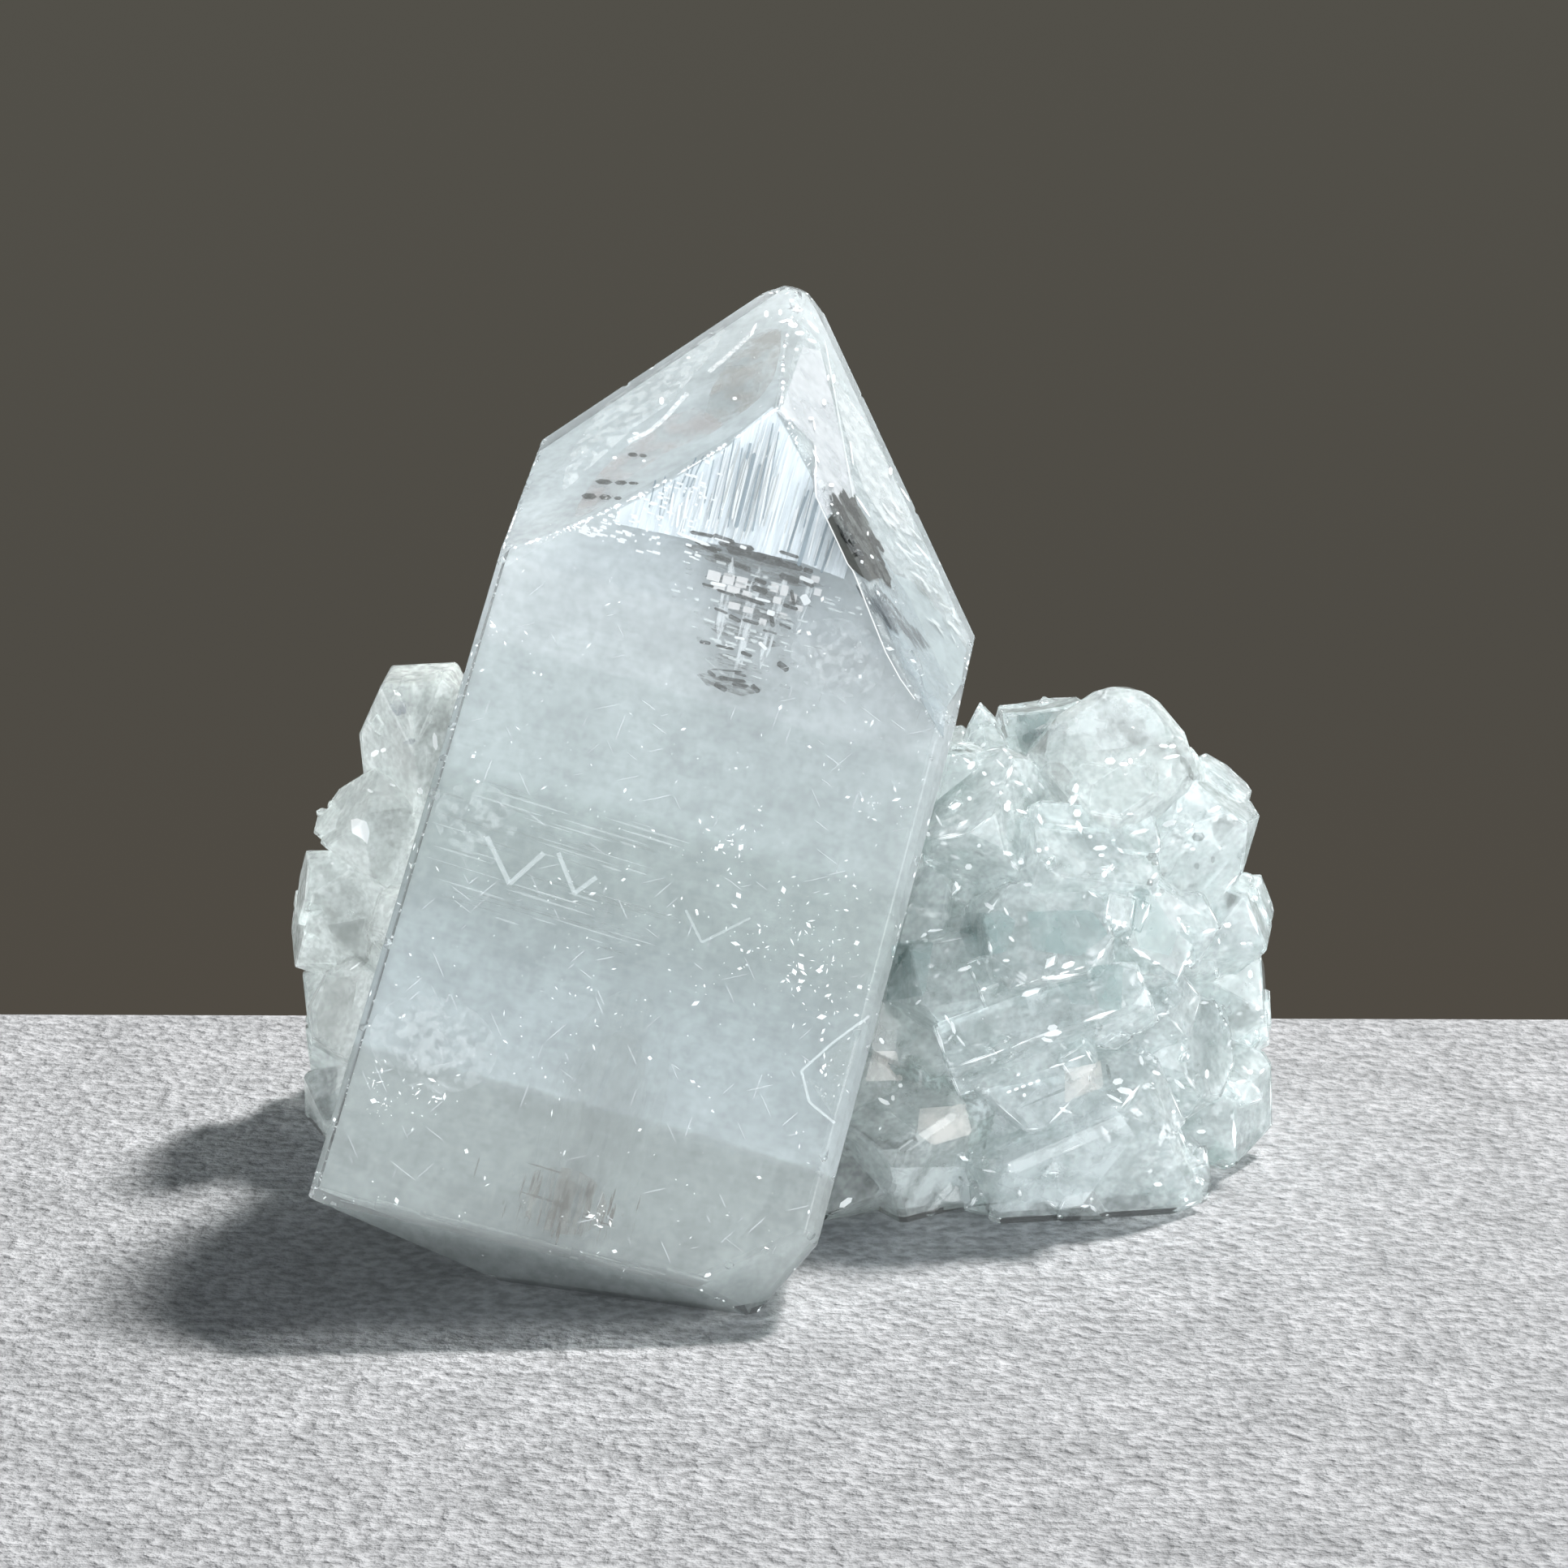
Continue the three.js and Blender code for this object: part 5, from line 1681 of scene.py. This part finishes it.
for name, centre, half, colour, alpha, stretch in (
    ("core_shade", (1.9, -45.2), (2.6, 5.9), (0.36, 0.40, 0.39, 1), (0.0, 0.11), (1.6, 1.0, 0.30)),
    ("foot_shade", (1.2, -49.5), (2.0, 1.5), (0.30, 0.30, 0.27, 1), (0.0, 0.34), (3.4, 1.0, 0.4)),
    ("low_left_cloud", (-6.2, -44.2), (2.9, 2.2), (0.90, 0.94, 0.95, 1), (0.0, 0.09), (2.4, 2.4, 2.4)),
    ("left_cloud", (-7.2, -33.6), (1.9, 1.7), (0.88, 0.93, 0.93, 1), (0.0, 0.09), (2.4, 2.4, 2.4)),
    ("high_cloud", (6.6, -21.6), (2.2, 1.9), (0.95, 0.98, 1.0, 1), (0.0, 0.09), (2.4, 2.4, 2.4)),
):
    round_way = np.linspace(0, 2 * np.pi, CLOUD_CORNERS + 1)[:-1]
    circle = np.stack([np.cos(round_way), np.sin(round_way)], 1)
    rings = [np.array(centre) + share * np.array(half) * circle for share in (1.0, 0.66)]
    piece = slabs(name, FRONT_FACE, rings, 0.30, mark_material(name, colour, alpha, stretch))
    step = np.repeat(np.arange(2), 2 * CLOUD_CORNERS)[:, None] * CLOUD_STEP * MM * LEAN[:, 1]
    set_corner_places(piece.data, corner_places(piece.data) + step)
print("inner pieces so far:", len(inner_pieces))

# %% [markdown]
# ## Flakes
# Bright flakes and specks hang in the stone, thick near the right edge and on a few small cracks.
# Each is a thin closed diamond turned at random, so that some of them always catch the lamp. Their
# white finish also glows a little, a painted highlight, and the same finish makes the painted
# glints along the ridges and on the lobes.


# %% Flakes
def flakes(name, centres, sizes, material, ways=None):
    """Thin diamonds: six corners at plus and minus three half axes, the third a tenth of the first,
    turned by the quaternion of four random numbers, and moved to each centre. Where ways are given,
    the first half axis lies along the way and the other two at random round it. Part's frame, mm."""
    count = len(centres)
    q = dice.normal(size=(count, 4))
    w, x, y, z = (q / np.linalg.norm(q, axis=1, keepdims=True)).T
    turn = np.array([
        [1 - 2 * (y * y + z * z), 2 * (x * y - z * w), 2 * (x * z + y * w)],
        [2 * (x * y + z * w), 1 - 2 * (x * x + z * z), 2 * (y * z - x * w)],
        [2 * (x * z - y * w), 2 * (y * z + x * w), 1 - 2 * (x * x + y * y)],
    ]).transpose(2, 0, 1)
    thin = dice.uniform(0.25, 0.8, count)
    if ways is not None:
        first = ways / np.linalg.norm(ways, axis=1, keepdims=True)
        second = np.cross(first, turn[:, :, 0])
        second /= np.linalg.norm(second, axis=1, keepdims=True)
        turn = np.stack([first, second, np.cross(first, second)], 2)
        thin = dice.uniform(0.04, 0.11, count) / sizes
    half = np.stack([sizes, sizes * thin, sizes * thin * 0.4], 1)
    tips = np.array([[1, 0, 0], [0, 1, 0], [-1, 0, 0], [0, -1, 0], [0, 0, 1], [0, 0, -1]])
    points = np.einsum("nij,nkj->nki", turn, tips[None] * half[:, None]) + centres[:, None]
    points = points[inside_stone(points.reshape(-1, 3)).reshape(-1, 6).all(1)]
    count = len(points)
    one = np.array([[0, 1, 4], [1, 2, 4], [2, 3, 4], [3, 0, 4], [1, 0, 5], [2, 1, 5], [3, 2, 5], [0, 3, 5]])
    faces = (one[None] + 6 * np.arange(count)[:, None, None]).reshape(-1, 3)
    piece = mesh_object(name, points.reshape(-1, 3) * MM, faces, [material])
    inner_pieces.append(piece)
    return piece


def sharp_edges(mesh, kind, region, least):
    """Ends of the region's ridges, in mm, and the way inwards there. A ridge is an edge whose two
    faces look at least the given angle apart, in degrees, and away from each other."""
    skin = bmesh.new()
    skin.from_mesh(mesh)
    skin.faces.index_update()
    rows = []
    for edge in skin.edges:
        if len(edge.link_faces) != 2 or edge.calc_face_angle_signed(0.0) < math.radians(least):
            continue
        if kind[edge.link_faces[0].index] != region or edge.calc_length() < 0.3 * MM:
            continue
        inward = -(edge.link_faces[0].normal + edge.link_faces[1].normal)
        rows.append([*edge.verts[0].co, *edge.verts[1].co, *inward.normalized()])
    skin.free()
    rows = np.array(rows)
    return rows[:, :3] / MM, rows[:, 3:6] / MM, rows[:, 6:]


# Painted highlight: a white finish with a glow of its own, for the flakes and all the glints.
glint = mark_material("painted_glint", (1.0, 1.0, 1.0, 1), 1.0, roughness=0.25, glow=0.35)
spots = []
for x, z, spread, count in (
    (4.1, -31.4, 0.45, 26), (9.7, -28.0, 0.35, 12), (11.0, -27.7, 0.5, 14), (-9.0, -24.7, 0.3, 9),
    (-7.6, -47.6, 0.35, 24), (-8.3, -46.6, 0.3, 12), (-6.2, -47.0, 0.6, 14), (-5.2, -46.4, 0.4, 8),
    (2.95, -49.9, 0.3, 16), (9.5, -34.5, 1.6, 60), (10.5, -37.0, 1.2, 50), (7.5, -36.0, 1.5, 40),
    (4.0, -33.0, 3.0, 50), (-3.0, -35.0, 4.0, 50), (2.0, -40.0, 5.0, 70), (-6.0, -29.0, 2.5, 20),
    (7.0, -24.0, 2.5, 30), (3.0, -8.0, 1.0, 14), (10.4, -21.6, 0.5, 16), (11.2, -41.0, 0.7, 30),
):
    own = np.stack(
        [dice.normal(x, spread, count), dice.uniform(-7.85, -7.6, count), dice.normal(z, spread, count)], 1
    )
    spots.append(own)
tip = dice.normal(0, 1, (12, 3)) * [0.8, 0.8, 0.9] + [0.2, -1.6, -3.0]
arms = dice.uniform(-8.4, 12.0, 150)
beads = np.stack(
    [arms, np.full(150, -7.82), np.interp(arms, ARMS_X, ARMS_Z) - 0.16 + dice.normal(0, 0.06, 150)], 1
)
spots = np.concatenate([*spots, tip, beads])
shrunk = np.array([[*p[:3], p[3] - 0.06] for p in large_planes])
inside = (spots @ shrunk[:, :3].T < shrunk[:, 3]).all(1)
spots = standing(spots[inside])
spots = spots[spots[:, 2] > 0.5]
sizes = 0.04 + 0.20 * dice.uniform(0, 1, len(spots)) ** 3
flakes("flakes", spots, sizes, glint)
print("flakes in the large crystal:", len(spots))
for region, count, name, deepest, largest in (
    (PRISM, 700, "flakes_around", 0.2, 0.14), (POINT, 160, "flakes_point", 0.2, 0.14),
    (CLEAR, 1500, "flakes_right", 0.5, 0.40), (FROST, 60, "flakes_plate", 0.3, 0.25),
    (SUGAR, 160, "flakes_left", 0.8, 0.3),
):
    points, normals = surface_points(body.data, region, count, dice, regions)
    sizes = 0.035 + largest * dice.uniform(0, 1, count) ** 3
    depth = 0.05 + sizes[:, None] * (region != PRISM) + dice.uniform(0, deepest, (count, 1))
    flakes(name, points - normals * depth, sizes, glint)
points, normals = surface_points(body.data, CLEAR, 130, dice, regions)
sizes = dice.uniform(0.6, 2.0, 130)
veil = mark_material("veil", (0.93, 0.97, 0.98, 1), (0.0, 0.55), (2.2, 2.2, 2.2), roughness=0.6)
flakes("veils", points - normals * (0.25 + sizes[:, None] * dice.uniform(0.3, 1.0, (130, 1))), sizes, veil)
for region, least, most, name in ((POINT, 19, 170, "point_beads"), (WORN, 20, 120, "edge_beads")):
    a, b, inward = sharp_edges(body.data, regions, region, least)
    chosen = dice.choice(len(a), most)
    a, b, inward = a[chosen], b[chosen], inward[chosen]
    spots = a + dice.uniform(0, 1, (most, 1)) * (b - a) + inward * 0.10
    flakes(name, spots, dice.uniform(0.05, 0.20, most), glint, b - a)
a, b, inward = sharp_edges(body.data, regions, CLEAR, 30)
chosen = dice.choice(len(a), min(900, len(a)), replace=False)
a, b, inward = a[chosen], b[chosen], inward[chosen]
share, long = dice.uniform(0.2, 0.8, (len(a), 1)), np.linalg.norm(b - a, axis=1)
sizes = np.minimum(0.9, long * dice.uniform(0.08, 0.42, len(a)))
flakes("ridge_glints", a + share * (b - a) + inward * 0.16, sizes, glint, b - a)
print("ridge glints:", len(a), "of", len(long))

# %% Glints, pits and tinted facets of the lobes
# ends of each stroke across and up the view, and half its width, mm
WHITE_STROKES = [
    (9, 19.67, 9.35, 20.06, 0.16), (9.66, 19.6, 9.82, 19.41, 0.1), (10.03, 19.14, 10.18, 18.95, 0.1),
    (10.39, 18.68, 10.55, 18.5, 0.1), (10.8, 18.23, 10.97, 18.04, 0.1), (8.13, 17.85, 8.64, 18.11, 0.16),
    (8.91, 18.34, 9.13, 18.34, 0.12), (10.81, 18.15, 10.8, 17.7, 0.18), (11.25, 17.81, 11.69, 17.59, 0.08),
    (12.22, 17.63, 12.36, 17.06, 0.1), (10.31, 20.17, 10.66, 19.78, 0.06),
    (11.14, 19.14, 11.63, 18.95, 0.08), (11.83, 18.83, 12.07, 18.53, 0.08),
    (12.36, 19.1, 12.68, 18.72, 0.06), (14.06, 19.06, 13.9, 18.53, 0.18), (13.94, 18.49, 13.74, 18, 0.16),
    (13.87, 17.66, 14.29, 17.66, 0.22), (14.03, 17.32, 14.25, 16.68, 0.14),
    (14.56, 16.56, 14.79, 16.56, 0.1), (14.77, 16, 15.47, 16.07, 0.14), (15.02, 15.7, 15.34, 15.7, 0.1),
    (10.51, 15.82, 11.1, 15.7, 0.12), (8.82, 15.07, 9.15, 15.08, 0.16), (9.33, 16.08, 9.52, 16.08, 0.1),
    (12.03, 15.94, 12.33, 15.94, 0.12), (12.47, 16.01, 12.66, 16.01, 0.1),
    (11.3, 15.34, 11.52, 15.34, 0.12), (15.67, 15.3, 15.66, 14.97, 0.08),
    (15.26, 14.95, 15.26, 14.65, 0.14), (15.4, 20.09, 15.93, 20.09, 0.18),
    (16.06, 19.94, 16.52, 19.94, 0.1), (16.63, 20.24, 16.6, 19.94, 0.12),
    (17.05, 20.32, 17.37, 20.66, 0.08), (17.98, 20.82, 18.44, 20.78, 0.1),
    (18.44, 20.78, 18.83, 20.78, 0.12), (18.15, 20.21, 19.02, 20.36, 0.1),
    (19.66, 18.72, 19.89, 18.72, 0.12), (20.4, 17.69, 20.99, 17.95, 0.14),
    (16.36, 17.59, 16.75, 17.58, 0.08), (16.59, 16.67, 17.53, 16.89, 0.12),
    (17.37, 16.93, 18.13, 17.03, 0.16), (18.16, 17.03, 18.86, 17.27, 0.16),
    (18.87, 17.65, 19.14, 17.88, 0.08), (17.74, 13.83, 18.06, 13.82, 0.1),
    (19.55, 15.88, 19.83, 15.88, 0.08), (8.4, 14.38, 8.6, 13.99, 0.08), (9.29, 13.76, 9.59, 13.51, 0.14),
    (9.66, 13.47, 10.1, 13.2, 0.12), (10.57, 13.3, 10.79, 12.89, 0.06), (11.5, 14.33, 11.84, 14.33, 0.1),
    (15.34, 12.8, 15.58, 12.8, 0.1), (15.62, 12.6, 15.84, 12.61, 0.12), (15.77, 12.53, 16.08, 12.53, 0.16),
    (16.14, 12.53, 16.33, 12.53, 0.1), (15.73, 12.14, 15.9, 12.37, 0.06), (6.85, 11.94, 7.07, 11.94, 0.1),
    (7.08, 12.09, 7.83, 12.13, 0.06), (10.78, 11.96, 11.04, 11.69, 0.08),
    (10.48, 10.84, 10.82, 10.84, 0.08), (19.05, 10.62, 19.6, 10.53, 0.14),
    (22.13, 11.37, 22.44, 11.37, 0.08), (21.3, 12.27, 21.69, 12.26, 0.16),
    (21.07, 11.65, 21.12, 11.34, 0.06), (7.46, 17.58, 7.72, 17.05, 0.06), (8.46, 10.28, 9.09, 10.52, 0.1),
    (13.21, 10.5, 13.86, 10.75, 0.16), (11.04, 9.59, 11.51, 9.75, 0.05), (11.71, 9.81, 12.2, 9.96, 0.05),
    (12.41, 10.01, 12.9, 10.16, 0.05), (13.1, 10.21, 13.6, 10.35, 0.05), (13.8, 10.4, 14.3, 10.55, 0.05),
    (11.4, 9.13, 12.32, 9.48, 0.14), (12.55, 7.67, 13.03, 7.78, 0.16), (12.39, 7.38, 13.26, 7.45, 0.18),
    (12.32, 7.14, 12.87, 7.01, 0.1), (10.74, 4.56, 10.98, 4.66, 0.08), (11.07, 4.69, 11.31, 4.79, 0.08),
    (11.4, 4.82, 11.64, 4.92, 0.08), (11.73, 4.95, 11.98, 5.05, 0.08), (12.06, 5.08, 12.31, 5.18, 0.08),
    (12.7, 5.74, 13.43, 6, 0.05), (13.58, 6.08, 14.38, 6.37, 0.05), (9.4, 6.2, 10.63, 6.73, 0.04),
    (10.9, 6.84, 12.92, 7.64, 0.04), (14.87, 6.72, 15.15, 6.73, 0.1), (17.09, 6.27, 17.19, 5.82, 0.1),
    (17.63, 5.53, 18.08, 5.35, 0.1), (18.16, 5.42, 18.76, 5.1, 0.14), (18.8, 4.99, 19.33, 4.51, 0.1),
    (15.72, 5.07, 16.23, 5.17, 0.16), (15.9, 4.78, 16.68, 4.64, 0.16), (15.39, 4.57, 16.12, 4.18, 0.08),
    (20.48, 5.46, 20.47, 5, 0.12), (17.57, 10.61, 17.96, 10.61, 0.08), (20.03, 8.85, 20.59, 8.76, 0.12),
    (22.64, 5.19, 22.93, 5.18, 0.12), (22.84, 10.06, 22.83, 9.63, 0.14), (23.16, 8.39, 23.16, 8.04, 0.14),
    (17.69, 0.2, 18.11, 0.19, 0.12), (20.12, 2.3, 20.59, 2.3, 0.12), (19.82, 2.04, 20.48, 2.02, 0.06),
    (7.86, 8.2, 8.11, 7.84, 0.06), (8.15, 7.99, 8.3, 7.37, 0.1), (8.37, 7.34, 8.77, 6.83, 0.06),
    (4.88, 7.08, 5.06, 6.78, 0.1), (6.46, 8.69, 6.68, 8.93, 0.06), (4.79, 4.24, 5.33, 3.99, 0.12),
    (5.48, 4.4, 5.47, 4.15, 0.1), (5.75, 4.81, 5.98, 4.82, 0.12), (18.63, 3.56, 18.84, 3.55, 0.1),
    (11.48, 4.45, 11.66, 4.45, 0.1), (13.2, 3.88, 13.81, 3.57, 0.1), (2.94, -0.82, 3.55, -0.37, 0.16),
]
DARK_STROKES = [
    (19.62, 16.46, 20.25, 16.46, 0.2), (17.33, 15.61, 17.88, 15.61, 0.18),
    (17.55, 15.34, 17.95, 15.34, 0.12), (17.29, 14.41, 17.66, 14.4, 0.18),
    (19.8, 15.06, 20.08, 15.06, 0.14), (20.71, 15.53, 20.72, 15.21, 0.08),
    (17.96, 14.01, 18.24, 14.01, 0.1), (11.73, 20.78, 11.51, 20.36, 0.14),
    (19.02, 20.36, 19.7, 19.14, 0.14), (8.32, 20.64, 9.23, 20.56, 0.04), (9.69, 1.9, 9.82, 2.25, 0.06),
    (8.56, 0.55, 8.83, 0.31, 0.06), (22.58, 11.09, 23.17, 10.38, 0.1), (15.51, 5.9, 15.62, 5.18, 0.08),
    (10.37, -0.62, 8.88, -0.92, 0.04), (8.88, -0.92, 5.83, -1.18, 0.05), (18.63, -0.53, 20.19, -0.15, 0.04),
]
GREEN_FACETS = [
    [(8.86, 12.96), (10.49, 13.11), (11.13, 12.63), (10.66, 11.25), (9.07, 10.89), (8.57, 12.03)],
    [(11.66, 13.07), (14.66, 13.14), (15.44, 12.05), (14.05, 11.01), (11.87, 11.32)],
    [(16.76, 14.23), (17.58, 13.91), (18.84, 11.99), (18.51, 10.94), (16.98, 11.34), (16.46, 12.79)],
    [(14.5, 10.49), (16.14, 10.65), (15.92, 8.39), (15.02, 8.58)],
    [(13.02, 9.72), (14.42, 10.12), (14.77, 8.76), (13.77, 8.82)],
    [(5.27, 11.7), (7.33, 11.64), (6.94, 9.2), (5.16, 8.74)],
    [(11.88, 20.39), (11.44, 21.56), (11.53, 22.34), (13.39, 22.58), (12.77, 21.51)],
]
WARM_FACETS = [
    [(4.54, 6.44), (5.67, 6.44), (5.95, 5.06), (4.2, 5.03)],
    [(6.71, 3.83), (8.91, 4.03), (9.19, 2.55), (7.33, 2.11), (6.56, 2.78)],
    [(13.43, 5.69), (15.22, 6.04), (15.29, 4.89), (13.46, 4.08)],
]
PALE_FACETS = [
    [(11.53, 9.33), (12.53, 9.83), (12.87, 8.66), (11.82, 8.21)],
    [
        (11.99, 21.37), (14.3, 22.66), (16.44, 23.44), (18.11, 22.28), (18.45, 20.93), (14.61, 20.55),
        (13.11, 21.31),
    ],
    [(9.61, 4.63), (14.5, 6.36), (14.88, 5.53), (10.23, 3.29)],
    [(5.41, 1.13), (8.88, 0.97), (9.07, -0.74), (4.31, -0.98)],
    [(9.86, 3.2), (14.88, 5.23), (16.76, 2.59), (14.18, -0.89), (10.01, -1.1)],
]
LEFT_GLINTS = [
    (-19.91, 20.34, -19.46, 20.61, 0.16), (-19.37, 20.57, -19.06, 20.69, 0.12),
    (-16.57, 21.47, -16.5, 20.6, 0.12), (-17.44, 18.59, -17.13, 18.67, 0.2),
    (-21.8, 15.13, -21.65, 15.09, 0.08), (-20.76, 9.96, -20.21, 10.34, 0.05),
    (-19.99, 18.75, -19.7, 18.59, 0.08), (-18.87, 19.03, -18.55, 18.91, 0.06),
    (-18.62, 23.56, -18.17, 23.27, 0.08),
]
LEFT_FACET = [
    [
        (-20.74, 17.25), (-20.38, 17.33), (-19.87, 17.14), (-19.73, 16.62), (-19.86, 16.03),
        (-20.16, 16.31), (-20.65, 16.58),
    ]
]
LEFT_SPOTS = [
    [(-18.85, 22.85), (-18.34, 23.07), (-17.93, 22.83), (-17.98, 22.36), (-18.57, 22.29)],
    [(-18.18, 20.96), (-17.75, 21.19), (-17.4, 21.07), (-17.75, 20.83)],
]
LEFT_SHADE = [
    [(-21.93, 9.54), (-20.34, 9.7), (-20.63, 7.82), (-21.01, 6.26), (-22.2, 6.18), (-22.47, 7.77)],
    [(-21.85, 12.1), (-19.38, 12.56), (-19.71, 11.12), (-20.09, 9.98), (-21.52, 9.94)],
]
# The white strokes on the lobes are painted highlights.
under_skin_slabs("stroke_glints", strokes(WHITE_STROKES + LEFT_GLINTS, 0.55, 0.8), 0.08, glint)
pit = mark_material("pit", (0.20, 0.23, 0.22, 1), (0.25, 0.75), evenly(3.0))
under_skin_slabs("pits", strokes(DARK_STROKES, 0.62), 0.10, pit)
# The glow of the warm and pale facets is painted light that lifts facets lying in shade, the left shade is
# painted shade on the lower part of the left lobe, and the left facet is a painted highlight.
for name, outlines, depth, colour, alpha, grain, glow in (
    ("green_facets", GREEN_FACETS, 0.13, (0.36, 0.49, 0.48, 1), (0.18, 0.50), 0.9, 0.0),
    ("warm_facets", WARM_FACETS, 0.12, (0.90, 0.86, 0.82, 1), (0.25, 0.60), 0.8, 0.14),
    ("pale_facets", PALE_FACETS, 0.14, (0.86, 0.92, 0.93, 1), (0.05, 0.40), 0.9, 0.06),
    ("left_spots", LEFT_SPOTS, 0.12, (0.36, 0.40, 0.44, 1), (0.10, 0.55), 1.6, 0.0),
    ("left_shade", LEFT_SHADE, 0.13, (0.46, 0.49, 0.47, 1), (0.10, 0.40), 0.8, 0.0),
):
    patch(name, outlines, depth, mark_material(name + "_tint", colour, alpha, evenly(grain), glow=glow))
patch("left_facet", LEFT_FACET, 0.10, glint)
print("strokes:", len(WHITE_STROKES), "white,", len(DARK_STROKES), "dark")

# %% [markdown]
# ## Finish
# Every piece rides on the part's one body, the part itself is hidden, and the three sky lamps light
# only these pieces. The seen model has to stay inside the part's own size.

# %% Finish
flagged = bpy.data.collections.new("lit_by_the_sky_lamps")
for lamp in lit_alone:
    lamp.light_linking.receiver_collection = flagged
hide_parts(NODE)
for piece in [body, *inner_pieces]:
    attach(piece, "root")
    flagged.objects.link(piece)
